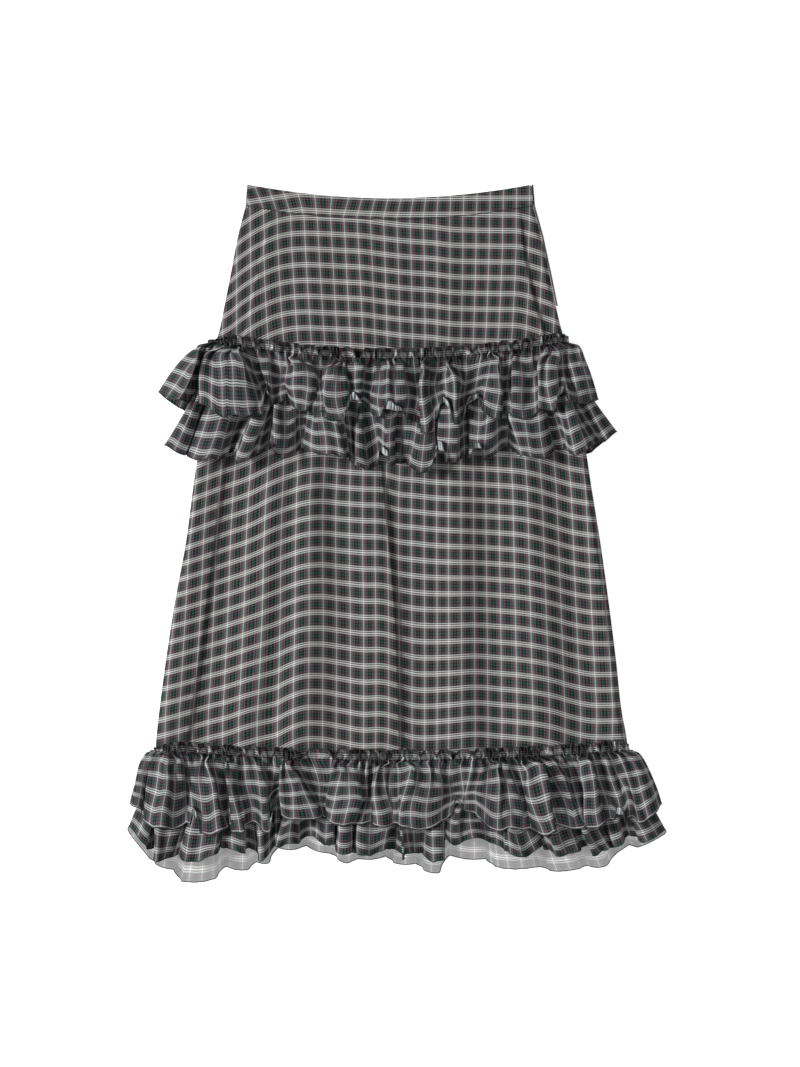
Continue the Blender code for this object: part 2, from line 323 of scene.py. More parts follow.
# How wide an open left edge is, and how far down a tier it stands fully open.
OPEN_EDGE_WIDTH = 22.0
OPEN_EDGE_DEPTH = 90.0

# A ruffle curls over this last stretch above its hem. Where the hem turns up, the fold starts at FLIP_DEPTH
# above it and is done after FLIP_TURNS_IN.
HEM_CURL = 15.0
FLIP_DEPTH = 15.0
FLIP_TURNS_IN = 8.0
# Sharp crests in a tier's lower half are rounded over this width.
CREST_WIDTH = 6.0
# Waves and curls grow from nothing over this stretch beside the side seams.
SEAM_REACH = 45.0

# The header stands at an angle above level that swings from curl to curl between two limits, in degrees. It
# leaves the stitch line at the root angle, and each curl spreads sideways. It grows from a short left end and
# shrinks towards the right one: how short the two ends are, and how far in from them it is full.
HEADER_LAY = 44.0
HEADER_SWING = 58.0
HEADER_DRIFT = 22.0
HEADER_RANGE = (-8.0, 125.0)
HEADER_ROOT = 12.0
HEADER_SPREAD = 3.2
HEADER_LEFT_END = 0.25
HEADER_RIGHT_END = 0.55
HEADER_GROWS = 30.0
HEADER_SHRINKS = 14.0

# Where the weft's pale band lies before a ruffle's stitch line.
WEFT_PHASE = 5.0

# How finely the ruffles are worked out, along the strip and down it, and the rows in a header.
ALONG = 2.8
DOWN = 3.4
HEADER_ROWS = 6

# The waistband's folded-double wall, and the rounding of its top corner at the zip.
BAND_WALL = 1.6
BAND_CORNER = 3.0

# ---------------------------------------------------------------------------------------------------------
# Numbers and meshes
# ---------------------------------------------------------------------------------------------------------


def mix(a, b, share):
    """The value a share of the way from a to b."""
    return a + (b - a) * share


def smooth(share):
    """A share held between 0 and 1, with its two ends rounded off."""
    share = np.clip(share, 0.0, 1.0)
    return share * share * (3 - 2 * share)


def curve_through(at, knots, values):
    """A smooth curve through (knots, values), read at the positions at."""
    knots = np.asarray(knots, float)
    values = np.asarray(values, float)
    slopes = np.gradient(values, knots)
    i = np.clip(np.searchsorted(knots, at) - 1, 0, len(knots) - 2)
    width = knots[i + 1] - knots[i]
    t = np.clip((at - knots[i]) / width, 0.0, 1.0)
    a, b = values[i], values[i + 1]
    t2, t3 = t * t, t * t * t
    return (
        a * (2 * t3 - 3 * t2 + 1)
        + b * (3 * t2 - 2 * t3)
        + slopes[i] * width * (t3 - 2 * t2 + t)
        + slopes[i + 1] * width * (t3 - t2)
    )


def box_filter(values, width):
    """Running mean over width samples, with the ends held."""
    width = max(1, int(width) | 1)
    padded = np.pad(values, width // 2, mode="edge")
    return np.convolve(padded, np.ones(width) / width, mode="valid")


def row_y(row, x):
    """Height in plan of a body row above the point x, sagging between the row's two ends."""
    across = (2 * x - row.left - row.right) / (row.right - row.left)
    return row.y - row.sag * (1 - np.minimum(across * across, 1.0))


def waves(rng, x, y, count, shortest, longest):
    """Smooth uneven ground from a few crossing waves, about -1 to 1."""
    total = np.zeros_like(x)
    for _ in range(count):
        length = rng.uniform(shortest, longest)
        angle = rng.uniform(-0.5, 0.5)
        phase = rng.uniform(0, 2 * np.pi)
        total += np.sin((x * np.cos(angle) + y * np.sin(angle) * 0.6) * 2 * np.pi / length + phase)
    return total / count


def new_object(name, data):
    """An object in the scene's own collection."""
    obj = bpy.data.objects.new(name, data)
    bpy.context.scene.collection.objects.link(obj)
    return obj


def cloth_mesh(name, points, faces, corners):
    """A smooth mesh from points, faces and the cloth coordinate at each face's corners, in millimetres."""
    mesh = bpy.data.meshes.new(name)
    mesh.from_pydata((points.reshape(-1, 3) * MM).tolist(), [], faces)
    layer = mesh.uv_layers.new(name=UV_NAME)
    layer.data.foreach_set("uv", (corners.reshape(-1) * MM).astype(np.float32))
    mesh.shade_smooth()
    return mesh


def grid_object(name, points, uv, closed=False, both_ends=False):
    """A piece of quads through points [row, column, xyz], with its cloth coordinates, in millimetres. A
    closed grid joins its last column to its first. The last row is flagged as a hem, or the first one too."""
    rows, columns = points.shape[:2]
    spans = columns if closed else columns - 1
    r, c = np.meshgrid(np.arange(rows - 1), np.arange(spans), indexing="ij")
    r, c = r.ravel(), c.ravel()
    here = r * columns
    below = here + columns
    after = (c + 1) % columns
    faces = np.stack([here + c, below + c, below + after, here + after], axis=1)
    corners = np.stack([uv[r, c], uv[r + 1, c], uv[r + 1, c + 1], uv[r, c + 1]], axis=1)
    mesh = cloth_mesh(name, points, faces.tolist(), corners)
    edge = mesh.attributes.new(HEM_FLAG, "BOOLEAN", "POINT")
    flags = np.zeros((rows, columns), bool)
    flags[-1] = True
    flags[0] = both_ends
    edge.data.foreach_set("value", flags.ravel())
    mesh.update()
    return new_object(name, mesh)


def finish_piece(obj, slot, *nodes):
    """Fix a piece to the skirt's body and hide the solids that it stands for. The slot is not used."""
    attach(obj, BODY)
    if nodes:
        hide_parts(*nodes)


# ---------------------------------------------------------------------------------------------------------
# Materials
# ---------------------------------------------------------------------------------------------------------

# The warp's and the weft's colours across half a repeat, from the pale line to the green one in the cell's
# middle.
Yarn = namedtuple("Yarn", "at red green blue")
WARP_YARNS = (
    Yarn(0.000, 0.60, 0.60, 0.57),
    Yarn(0.018, 0.52, 0.52, 0.49),
    Yarn(0.034, 0.12, 0.12, 0.115),
    Yarn(0.056, 0.07, 0.07, 0.07),
    Yarn(0.072, 0.17, 0.17, 0.16),
    Yarn(0.098, 0.17, 0.17, 0.16),
    Yarn(0.112, 0.07, 0.07, 0.07),
    Yarn(0.135, 0.07, 0.07, 0.07),
    Yarn(0.150, 0.14, 0.14, 0.135),
    Yarn(0.175, 0.12, 0.12, 0.115),
    Yarn(0.190, 0.05, 0.05, 0.05),
    Yarn(0.262, 0.03, 0.03, 0.03),
    Yarn(0.275, 0.19, 0.075, 0.125),
    Yarn(0.318, 0.19, 0.075, 0.125),
    Yarn(0.330, 0.010, 0.010, 0.010),
    Yarn(0.350, 0.002, 0.002, 0.002),
    Yarn(0.430, 0.002, 0.003, 0.003),
    Yarn(0.452, 0.004, 0.060, 0.038),
    Yarn(0.500, 0.004, 0.060, 0.038),
)
WEFT_YARNS = (
    Yarn(0.000, 0.82, 0.81, 0.76),
    Yarn(0.022, 0.76, 0.75, 0.70),
    Yarn(0.040, 0.16, 0.16, 0.15),
    Yarn(0.060, 0.05, 0.05, 0.05),
    Yarn(0.090, 0.07, 0.07, 0.07),
    Yarn(0.110, 0.56, 0.56, 0.53),
    Yarn(0.138, 0.56, 0.56, 0.53),
    Yarn(0.160, 0.26, 0.26, 0.25),
    Yarn(0.182, 0.05, 0.05, 0.05),
    Yarn(0.225, 0.008, 0.008, 0.009),
    Yarn(0.262, 0.008, 0.008, 0.009),
    Yarn(0.280, 0.100, 0.058, 0.078),
    Yarn(0.325, 0.100, 0.058, 0.078),
    Yarn(0.340, 0.012, 0.012, 0.013),
    Yarn(0.440, 0.004, 0.005, 0.005),
    Yarn(0.462, 0.018, 0.050, 0.036),
    Yarn(0.500, 0.018, 0.050, 0.036),
)
# How much of the cloth's face the weft covers, and how bright the body's and the ruffles' cloth looks.
WEFT_SHARE = 0.5
BODY_TINT = (0.85, 0.86, 0.87)
RUFFLE_TINT = (0.78, 0.81, 0.83)
SHEER_TINT = (1.15, 1.19, 1.20)
# The paler underside that a turned-up hem shows, and how far it hides the plaid.
UNDERSIDE_COLOR = (0.42, 0.46, 0.47)
UNDERSIDE_SHARE = 0.5
# Streaks per metre on that underside.
UNDERSIDE_STREAKS = 330.0
# A noise's contrast: two of its values, and the brightness at each. It is for the painted shade and
# highlights of the little pleats beside a stitch line, for the underside's streaks and for the crepe's slubs.
PLEAT_SHADE_CONTRAST = (0.36, 0.64, 0.3, 2.3)
STREAK_CONTRAST = (0.4, 0.6, 0.12, 1.5)
SLUB_CONTRAST = (0.0, 1.0, 0.78, 1.22)
SLUBS_PER_METRE = 900.0
# Twists per metre of the thread, and its darkest and brightest share.
TWISTS_PER_METRE = 1400.0
THREAD_CONTRAST = (0.6, 1.5)


def new_node(tree, kind, **settings):
    """A node with its settings."""
    node = tree.nodes.new(kind)
    for name, value in settings.items():
        setattr(node, name, value)
    return node


def set_inputs(node, **values):
    """Link a node's inputs to sockets, or set them to plain values. A _ in a name stands for a space."""
    for name, value in values.items():
        socket = node.inputs[name.replace("_", " ")]
        if isinstance(value, bpy.types.NodeSocket):
            node.id_data.links.new(value, socket)
        else:
            socket.default_value = value
    return node


def math_node(tree, operation, first, second=None):
    """A Math node. Each input is a socket to link or a plain number."""
    node = new_node(tree, "ShaderNodeMath", operation=operation)
    for socket, value in zip(node.inputs, (first, second)):
        if isinstance(value, bpy.types.NodeSocket):
            tree.links.new(value, socket)
        elif value is not None:
            socket.default_value = value
    return node.outputs[0]


def mix_colors(tree, factor, a, b, blend_type="MIX"):
    """Two colours mixed or multiplied."""
    node = new_node(tree, "ShaderNodeMix", data_type="RGBA", blend_type=blend_type)
    return set_inputs(node, Factor=factor, A=a, B=b).outputs["Result"]


def map_range(tree, value, limits):
    """A value carried from one pair of limits to another."""
    low, high, to_low, to_high = limits
    node = new_node(tree, "ShaderNodeMapRange")
    set_inputs(node, Value=value, From_Min=low, From_Max=high, To_Min=to_low, To_Max=to_high)
    return node.outputs["Result"]


def bump_normal(tree, height, strength, distance):
    """The normal of a surface that a height roughens."""
    bump = new_node(tree, "ShaderNodeBump")
    return set_inputs(bump, Strength=strength, Distance=distance, Height=height).outputs["Normal"]


def new_material(name):
    """A material with its node tree and shader."""
    material = bpy.data.materials.new(name)
    material.use_nodes = True
    return material, material.node_tree, material.node_tree.nodes["Principled BSDF"]


def yarn_ramp(tree, coordinate, repeat, yarns, tint):
    """The colour of the yarn at a coordinate, for a sett that mirrors about its pale line."""
    turns = math_node(tree, "DIVIDE", coordinate, repeat)
    half = math_node(tree, "PINGPONG", turns, 0.5)
    ramp = new_node(tree, "ShaderNodeValToRGB")
    elements = ramp.color_ramp.elements
    elements[0].position, elements[1].position = yarns[0].at, 1.0
    shades = [[share * part for share, part in zip(yarn[1:], tint)] for yarn in yarns]
    elements[0].color = (*shades[0], 1.0)
    elements[1].color = (*shades[-1], 1.0)
    for yarn, shade in zip(yarns[1:], shades[1:]):
        element = elements.new(yarn.at)
        element.color = (*shade, 1.0)
    tree.links.new(half, ramp.inputs["Fac"])
    return ramp.outputs["Color"]


def streaks(tree, across, per_metre, detail, limits):
    """Uneven streaks along the warp, as a brightness: noise across the cloth with its contrast raised."""
    noise = new_node(tree, "ShaderNodeTexNoise", noise_dimensions="1D")
    set_inputs(noise, Scale=per_metre, Detail=detail, W=across)
    return map_range(tree, noise.outputs["Fac"], limits)


def painted_pleat_shade(tree, split, sizes):
    """Painted shade and highlights of the tight little pleats beside a ruffle's stitch line, as a brightness
    that fades to 1 away from it.
    """
    contrast = streaks(tree, split.outputs["X"], sizes.painted_pleats_per_metre, 1.0, PLEAT_SHADE_CONTRAST)
    away = math_node(tree, "ABSOLUTE", math_node(tree, "SUBTRACT", split.outputs["Y"], WEFT_PHASE * MM))
    fade = math_node(tree, "DIVIDE", away, sizes.painted_pleat_reach)
    near = math_node(tree, "MAXIMUM", math_node(tree, "SUBTRACT", 1.0, fade), 0.0)
    ticks = new_node(tree, "ShaderNodeMix", data_type="FLOAT")
    return set_inputs(ticks, Factor=near, A=1.0, B=contrast).outputs["Result"]


def turned_face(tree, split, face):
    """The cloth's face, or its pale and streaked underside where a hem is turned up."""
    bright = streaks(tree, split.outputs["X"], UNDERSIDE_STREAKS, 2.0, STREAK_CONTRAST)
    pale = mix_colors(tree, 1.0, (*UNDERSIDE_COLOR, 1.0), bright, "MULTIPLY")
    turned = new_node(tree, "ShaderNodeAttribute", attribute_name=TURNED)
    share = math_node(tree, "MULTIPLY", turned.outputs["Fac"], UNDERSIDE_SHARE)
    return mix_colors(tree, share, face, pale)


def plaid_material(name, sizes, tint, alpha=1.0, gathered=False):
    """Yarn-dyed chiffon: warp and weft colours crossed, crepe slubs and a soft sheen. Gathered cloth also
    gets painted shade and highlights of its little pleats by the stitch line.
    """
    material, tree, shader = new_material(name)
    uv = new_node(tree, "ShaderNodeUVMap", uv_map=UV_NAME)
    split = new_node(tree, "ShaderNodeSeparateXYZ")
    tree.links.new(uv.outputs["UV"], split.inputs[0])
    warp = yarn_ramp(tree, split.outputs["X"], sizes.warp_repeat, WARP_YARNS, tint)
    weft = yarn_ramp(tree, split.outputs["Y"], sizes.weft_repeat, WEFT_YARNS, tint)
    woven = mix_colors(tree, WEFT_SHARE, warp, weft)
    slub = new_node(tree, "ShaderNodeTexNoise", noise_dimensions="2D")
    set_inputs(slub, Scale=SLUBS_PER_METRE, Detail=2.0, Vector=uv.outputs["UV"])
    grain_and_pleat_shade = map_range(tree, slub.outputs["Fac"], SLUB_CONTRAST)
    # On gathered cloth the crepe's slubs are multiplied by the painted shade and highlights of the little
    # pleats by the stitch line.
    if gathered:
        grain_and_pleat_shade = math_node(tree, "MULTIPLY", grain_and_pleat_shade, painted_pleat_shade(tree, split, sizes))
    face = mix_colors(tree, 1.0, woven, grain_and_pleat_shade, "MULTIPLY")
    if gathered:
        face = turned_face(tree, split, face)
    normal = bump_normal(tree, slub.outputs["Fac"], 0.25, 0.0004)
    set_inputs(shader, Base_Color=face, Normal=normal, Roughness=0.8, Alpha=alpha)
    set_inputs(shader, Specular_IOR_Level=0.12, Sheen_Weight=0.03, Sheen_Roughness=0.4)
    return material


def thread_material(name, color):
    """Dark rolled-hem and seam thread, with a fine twist. The seam's thread also paints the shadow line under
    the waistband.
    """
    material, tree, shader = new_material(name)
    place = new_node(tree, "ShaderNodeTexCoord")
    twist = new_node(tree, "ShaderNodeTexNoise")
    set_inputs(twist, Scale=TWISTS_PER_METRE, Vector=place.outputs["Object"])
    ramp = new_node(tree, "ShaderNodeValToRGB")
    for element, share in zip(ramp.color_ramp.elements, THREAD_CONTRAST):
        element.color = (*[share * c for c in color], 1.0)
    tree.links.new(twist.outputs["Fac"], ramp.inputs["Fac"])
    normal = bump_normal(tree, twist.outputs["Fac"], 0.3, 0.0003)
    set_inputs(shader, Base_Color=ramp.outputs["Color"], Normal=normal, Roughness=0.7)
    return material


# ---------------------------------------------------------------------------------------------------------
# Ruffles
# ---------------------------------------------------------------------------------------------------------

# How steeply a flute's sides fall, in radians from flat, by the width of the gap beside it at the hem. They
# differ from that by up to a share, and at the side seams they have a steepness of their own.
GAP_LEAN = ((2, 1.8), (8, 1.6), (16, 1.35), (30, 1.15))
LEAN_SPREAD = 0.22
SEAM_LEAN = 0.9
# The squashed back flutes' sides are less steep by this share.
BACK_LEAN = 0.78
# The powers that sharpen a flute's sides. Each flute has the one that brings its height to its rise, behind
# and in front. A valley has the one at VALLEY_SHARPNESS.
SHARPNESS = np.linspace(0.7, 2.6, 20)
VALLEY_SHARPNESS = 8
FLUTE_RISE = (3.2, 22.0)
# Cloth in one fine gather at the stitch line, in one gather just below it, in one ripple, in one broad wave
# and in one curl of the header.
FINE_GATHER = 14.5
MIDDLE_GATHER = 25.0
RIPPLE = 27.0
BROAD_WAVE = 60.0
HEADER_CURL = 25.0
# Puckers pulled in by the stitch line: how many there are, how wide each is, how high it stands and how far
# down it reaches.
PUCKERS = 160
PUCKER = 6.2
PUCKER_RISE = 1.3
PUCKER_REACH = 9.0
# How far down a tier its fine gathers hold before they open into flutes: where nothing lies on them, and
# where the short tier does.
OPEN_BELOW = 8.0
PRESSED_BELOW = 44.0
# Samples across a lobe when its cloth is measured, and rounds in which a row's bends are fitted to the width
# of its flutes.
LOBE_SAMPLES = 200
FIT_ROUNDS = 16

# Where a hem turns up and shows its underside: its place along the hem, the width and how far it turns.
Flip = namedtuple("Flip", "x width turn")
UPPER_SHORT_FLIPS = (
    Flip(-151, 11, 2.3),
    Flip(-50, 20, 2.7),
    Flip(-4, 27, 2.7),
    Flip(57, 15, 2.5),
    Flip(89, 18, 2.7),
    Flip(193, 13, 2.4),
)
UPPER_LONG_FLIPS = (Flip(-146, 9, 2.0), Flip(-14, 13, 2.7), Flip(49, 16, 2.7), Flip(95, 14, 2.0))
HEM_SHORT_FLIPS = (Flip(-236, 10, 2.6), Flip(-142, 10, 2.2), Flip(72, 12, 2.2), Flip(262, 12, 2.4))

# A tier's stitch line, depth and header, and how far its left edge stands open at the hem. The powers in
# fans say how soon its flutes spread at the left end, in the middle and at the right end: below 1 is soon.
# Then the front's flutes, levels and turned-up hems. The back has flutes of its own, or even ones that hang
# this far below the stitch line.
Tier = namedtuple(
    "Tier", "name gather depth header open_edge fans flutes levels flips behind hang back_levels"
)
TIERS = (
    Tier(
        name="upper_ruffle_long",
        gather=UPPER_GATHER,
        depth=134,
        header=0,
        open_edge=11.0,
        fans=(1.3, 1.3, 1.3),
        flutes=UPPER_LONG,
        levels=UPPER_LONG_LEVELS,
        flips=UPPER_LONG_FLIPS,
        behind=None,
        hang=126,
        back_levels=BACK_LONG_LEVELS,
    ),
    Tier(
        name="upper_ruffle_short",
        gather=UPPER_GATHER,
        depth=82,
        header=HEADER,
        open_edge=0.0,
        fans=(0.66, 0.72, 0.5),
        flutes=UPPER_SHORT,
        levels=UPPER_SHORT_LEVELS,
        flips=UPPER_SHORT_FLIPS,
        behind=None,
        hang=76,
        back_levels=BACK_SHORT_LEVELS,
    ),
    Tier(
        name="hem_ruffle_long",
        gather=HEM_GATHER,
        depth=118,
        header=0,
        open_edge=0.0,
        fans=(1.3, 1.3, 1.3),
        flutes=HEM_LONG_FRONT,
        levels=HEM_LONG_LEVELS,
        flips=(),
        behind=HEM_LONG,
        hang=None,
        back_levels=BACK_LONG_LEVELS,
    ),
    Tier(
        name="hem_ruffle_short",
        gather=HEM_GATHER,
        depth=87,
        header=HEADER,
        open_edge=9.0,
        fans=(0.5, 0.72, 0.5),
        flutes=HEM_SHORT,
        levels=HEM_SHORT_LEVELS,
        flips=HEM_SHORT_FLIPS,
        behind=None,
        hang=76,
        back_levels=BACK_SHORT_LEVELS,
    ),
)

# One half of a tier along its strip. For each lobe: 1 for a flute and -1 for a valley, its width at the hem
# and its length of cloth. Then the lobes' ends and middles on the strip, and the places where the cloth
# rests. For each column: its place, its distance from the nearer side seam, how far it has grown from
# nothing there, its lobe and its share of the way through that lobe.
Strip = namedtuple("Strip", "side spans lengths ends middles rest s seam inside lobe part")


def lay_out_lobes(flutes):
    """Flutes and the valleys between them as columns: side, stitch-line edges, hem edges and hem heights."""
    side, tops, hems, ys = [], [flutes[0].top_left], [flutes[0].hem_left], [flutes[0].left_y]
    for k, flute in enumerate(flutes):
        if k:
            side.append(-1)
            tops.append(flute.top_left)
            hems.append(flute.hem_left)
            ys.append(flute.left_y)
        side.append(1)
        tops.append(flute.top_right)
        hems.append(flute.hem_right)
        ys.append(flute.right_y)
    return np.array(side), np.array(tops, float), np.array(hems, float), np.array(ys, float)


def stitch_row(depths):
    """The index of the row on the stitch line."""
    return int(np.argmax(depths >= 0))


def uneven_wave(rng, s, length, spread, uneven=0.3):
    """A sine along s whose waves differ in length and height, and its phase."""
    count = int(s[-1] / length) + 6
    marks = np.concatenate([[0.0], np.cumsum(length * (1 + rng.uniform(-spread, spread, count)))])
    height = np.interp(s, marks, 1 + rng.uniform(-uneven, uneven, count + 1))
    phase = np.interp(s, marks, np.arange(count + 1) * 2 * np.pi) + rng.uniform(0, 2 * np.pi)
    return height * np.sin(phase), phase


def shape_lobes(rng, side, spans, face):
    """How steep the cloth is at each end of the lobes, the power that sharpens each lobe's sides, and each
    lobe's length of cloth."""
    count = len(side)
    gaps = np.where(side < 0, spans, 0.0)
    lean = np.empty(count + 1)
    steep = np.interp(gaps[1:] + gaps[:-1], *zip(*GAP_LEAN))
    lean[1:-1] = steep * (1 + rng.uniform(-LEAN_SPREAD, LEAN_SPREAD, count - 1))
    lean[0] = lean[-1] = SEAM_LEAN
    lean *= mix(BACK_LEAN, 1.0, face)
    t = ((np.arange(LOBE_SAMPLES) + 0.5) / LOBE_SAMPLES)[None, :]
    power, lengths = np.empty(count), np.empty(count)
    for k in range(count):
        angle = mix(lean[k], lean[k + 1], t) * np.abs(np.cos(np.pi * t)) ** SHARPNESS[:, None]
        cloth = spans[k] / np.maximum(np.cos(angle).mean(axis=1), 0.34)
        rise = cloth * np.sin(angle).mean(axis=1) / 2
        best = np.argmin(np.abs(rise - FLUTE_RISE[face])) if side[k] > 0 else VALLEY_SHARPNESS
        power[k], lengths[k] = SHARPNESS[best], cloth[best]
    return lean, power, lengths


def lay_out_strip(side, spans, lengths):
    """The strip of cloth that lobes of these lengths take up, with a column every ALONG millimetres."""
    ends = np.concatenate([[0.0], np.cumsum(lengths)])
    middles = 0.5 * (ends[1:] + ends[:-1])
    total = ends[-1]
    rest = np.concatenate([[0.0], middles[side < 0], [total]])
    s = np.linspace(0, total, int(total / ALONG))
    lobe = np.clip(np.searchsorted(ends, s, side="right") - 1, 0, len(side) - 1)
    part = (s - ends[lobe]) / lengths[lobe]
    seam = np.minimum(s, total - s)
    return Strip(side, spans, lengths, ends, middles, rest, s, seam, smooth(seam / SEAM_REACH), lobe, part)


def fit_row(strip, shape, marks, strength):
    """Bend a row more or less until each lobe is as wide as the distance between its two marks. It gives the
    row's places across, its slopes, and the strength of its bends for the next row to start from."""
    s, ends, middles = strip.s, strip.ends, strip.middles
    step = s[1] - s[0]
    targets = np.diff(marks)
    for _ in range(FIT_ROUNDS):
        slope = np.interp(s, middles, strength) * shape
        along = np.concatenate([[0.0], np.cumsum(np.cos(slope)[:-1] * step)])
        excess = (np.diff(np.interp(ends, s, along)) - targets) / strip.lengths
        strength = np.clip(strength + 0.6 * excess, 0.3, 1.5)
    got = np.interp(ends, s, along)
    stretch = np.clip(targets / np.maximum(np.abs(np.diff(got)), 1.0), 0.5, 1.5)
    across = np.interp(s, ends, marks) + (along - np.interp(s, ends, got)) * np.interp(s, middles, stretch)
    return across, slope, strength


def row_rise(strip, slope, height, flatness):
    """How far a row stands above its valleys: its slopes added up, with no lobe higher than height."""
    s, ends = strip.s, strip.ends
    rise = np.concatenate([[0.0], np.cumsum(np.sin(slope)[:-1] * (s[1] - s[0]))])
    rise = rise - np.interp(s, strip.rest, np.interp(strip.rest, s, box_filter(rise, 12 / ALONG)))
    peaks = np.array([np.abs(rise[(s >= a) & (s <= b)]).max() for a, b in zip(ends[:-1], ends[1:])])
    share = np.minimum(1.0, height / np.maximum(peaks, 0.5)) * flatness
    return rise * np.interp(s, strip.middles, box_filter(share, 3))


def gather_rows(rng, points, depths, strip, large, tops, hems, tier, levels, flatness, face):
    """Lay each row's cloth along its flutes: its places across and its heights."""
    s, start = strip.s, stitch_row(depths)
    fine = uneven_wave(rng, s, FINE_GATHER, 0.3)[0]
    middle = uneven_wave(rng, s, MIDDLE_GATHER, 0.35)[0]
    ripple = uneven_wave(rng, s, RIPPLE, 0.4)[0]
    broad = uneven_wave(rng, s, BROAD_WAVE, 0.4)[0]
    pucker_at = np.cumsum(PUCKER * (1 + rng.uniform(-0.4, 0.4, PUCKERS))) + tops[0] - 20
    pucker_turn = np.arange(PUCKERS) * 2 * np.pi
    level = Level(*(np.interp(depths, [row.depth for row in levels], column) for column in zip(*levels)))
    near_edge = strip.seam / 16.0
    opening = OPEN_BELOW if tier.header else PRESSED_BELOW
    knots = [tops[0], tops[0] + 50, tops[-1] - 50, tops[-1]]
    fan = np.interp(tops, knots, [tier.fans[0], tier.fans[1], tier.fans[1], tier.fans[2]])
    strength = np.ones(len(strip.side))
    for i in range(len(depths) - 1, start - 1, -1):
        d = depths[i]
        # The flutes open out where the fine gathers and the middle ones have faded away.
        shape = (
            large * smooth((d - opening + 16.0) / 44.0) ** 0.6
            + 1.7 * fine * np.exp(-d / 13.0)
            + 1.5 * middle * smooth(d / 12.0) * np.exp(-max(d - opening, 0.0) / 40.0)
            + (0.5 * ripple + 0.26 * broad) * smooth(d / 30.0) * strip.inside * face
        )
        marks = mix(tops, hems, (d / tier.depth) ** fan)
        points[i, :, 0], slope, strength = fit_row(strip, shape, marks, strength)
        rise = row_rise(strip, slope, level.flute[i], flatness)
        pucker = np.sin(np.interp(points[i, :, 0], pucker_at, pucker_turn))
        rise = rise + PUCKER_RISE * pucker * np.exp(-((d / PUCKER_REACH) ** 2)) * face
        ground = mix(level.edge[i], level.valley[i], smooth(near_edge))
        points[i, :, 2] = ground + np.maximum(rise, -1.2) * smooth(near_edge * 1.6)


def sway_rows(rng, points, depths, strip, face):
    """Let the flutes wander a little to the left and right on their way down."""
    wander, phase = uneven_wave(rng, strip.s, 95.0, 0.45)
    slant = uneven_wave(rng, strip.s, 80.0, 0.4)[0]
    for i in range(stitch_row(depths), len(depths)):
        share = depths[i] / depths[-1]
        sway = 3.4 * wander * np.sin(np.pi * share * 1.5 + phase * 0.3) + 2.4 * slant
        points[i, :, 0] += strip.inside * smooth(share * 1.4) * sway * face


def hang_rows(rng, points, depths, strip, gather, hem_ys, face):
    """Hang each row below the last by the cloth between them, and bring the lowest to the hem's outline."""
    s, side, spans, lobe, t = strip.s, strip.side, strip.spans, strip.lobe, strip.part
    start = stitch_row(depths)
    line = points[start]
    line[:, 1] = row_y(gather, line[:, 0])
    for i in range(start + 1, len(depths)):
        gap = depths[i] - depths[i - 1]
        moved = points[i] - points[i - 1]
        fall = np.sqrt(np.maximum(gap**2 - moved[:, 0] ** 2 - moved[:, 2] ** 2, (0.45 * gap) ** 2))
        points[i, :, 1] = points[i - 1, :, 1] - box_filter(fall, 18 / ALONG)
    # The hem hangs lowest at a flute's middle. It is drawn up in the valleys and at the flutes' corners.
    reach = line[:, 1] - points[-1, :, 1]
    arch = np.where(side[lobe] > 0, 2.5, -mix(1.0, 2.5 + 0.4 * spans[lobe], face)) * np.sin(np.pi * t) ** 2
    flute_of = np.clip(np.where(side[lobe] > 0, lobe, lobe + np.where(t < 0.5, -1, 1)), 0, len(side) - 1)
    corner = (3.0 + 0.07 * spans[flute_of]) * face
    arch = arch - corner * np.abs(np.cos(np.pi * t)) ** 3
    hem_wave = 1.8 * uneven_wave(rng, s, 33.0, 0.4)[0] + 1.8 * uneven_wave(rng, s, 58.0, 0.4)[0]
    wanted = line[:, 1] - np.interp(s, strip.ends, hem_ys) + (arch + hem_wave * face) * strip.inside
    ratio = box_filter(wanted / reach, 14 / ALONG)
    for i in range(start + 1, len(depths)):
        share = mix(1.0, ratio, smooth(depths[i] / depths[-1] * 1.15))
        points[i, :, 1] = line[:, 1] - (line[:, 1] - points[i, :, 1]) * share


def drift_rows(rng, points, depths, strip, face):
    """Crumple the cloth softly between the stitch line and the hem."""
    drift = [uneven_wave(rng, strip.s, length, 0.4)[0] for length in (38.0, 52.0, 75.0)]
    for i in range(stitch_row(depths) + 1, len(depths)):
        d = depths[i]
        wave = drift[0] * np.sin(d / 17 + 1) + drift[1] * np.cos(d / 25) + drift[2] * np.sin(d / 33 + 2)
        fade = smooth(d / 25) * smooth((depths[-1] - d) / 25 + 0.3) * strip.inside * face
        points[i, :, 1] += 1.1 * wave * fade
        points[i, :, 2] += 0.9 * (drift[1] * np.sin(d / 14) + drift[2] * np.cos(d / 19)) * fade


def turn_hem(rng, points, depths, strip, flips, face):
    """Curl the last stretch above the hem, and fold it up at the flips. It gives how far each point shows the
    underside."""
    depth = depths[-1]
    flute = box_filter(np.where(strip.side[strip.lobe] > 0, 1.0, 0.1), 10 / ALONG)
    turn = 0.5 * uneven_wave(rng, strip.s, 34.0, 0.4)[0] * smooth(strip.seam / 140.0) * face * flute
    hem_x = points[-1, :, 0].copy()
    folded = np.zeros(len(strip.s))
    for flip in flips:
        folded = folded + flip.turn * np.exp(-(((hem_x - flip.x) / (0.5 * flip.width)) ** 4))
    turned = np.zeros(points.shape[:2])
    moves = np.diff(points, axis=0)
    for i in range(int(np.searchsorted(depths, depth - HEM_CURL)), len(depths)):
        fold = folded * smooth((depths[i] - depth + FLIP_DEPTH) / FLIP_TURNS_IN)
        angle = turn * smooth((depths[i] - depth + HEM_CURL) / HEM_CURL) + fold
        turned[i] = smooth((fold - 1.1) / 0.9)
        across, down, up = moves[i - 1].T
        points[i, :, 0] = points[i - 1, :, 0] + across
        points[i, :, 1] = points[i - 1, :, 1] + down * np.cos(angle)
        points[i, :, 2] = points[i - 1, :, 2] + up * np.cos(angle) - down * np.sin(np.maximum(angle, -0.3))
    return turned


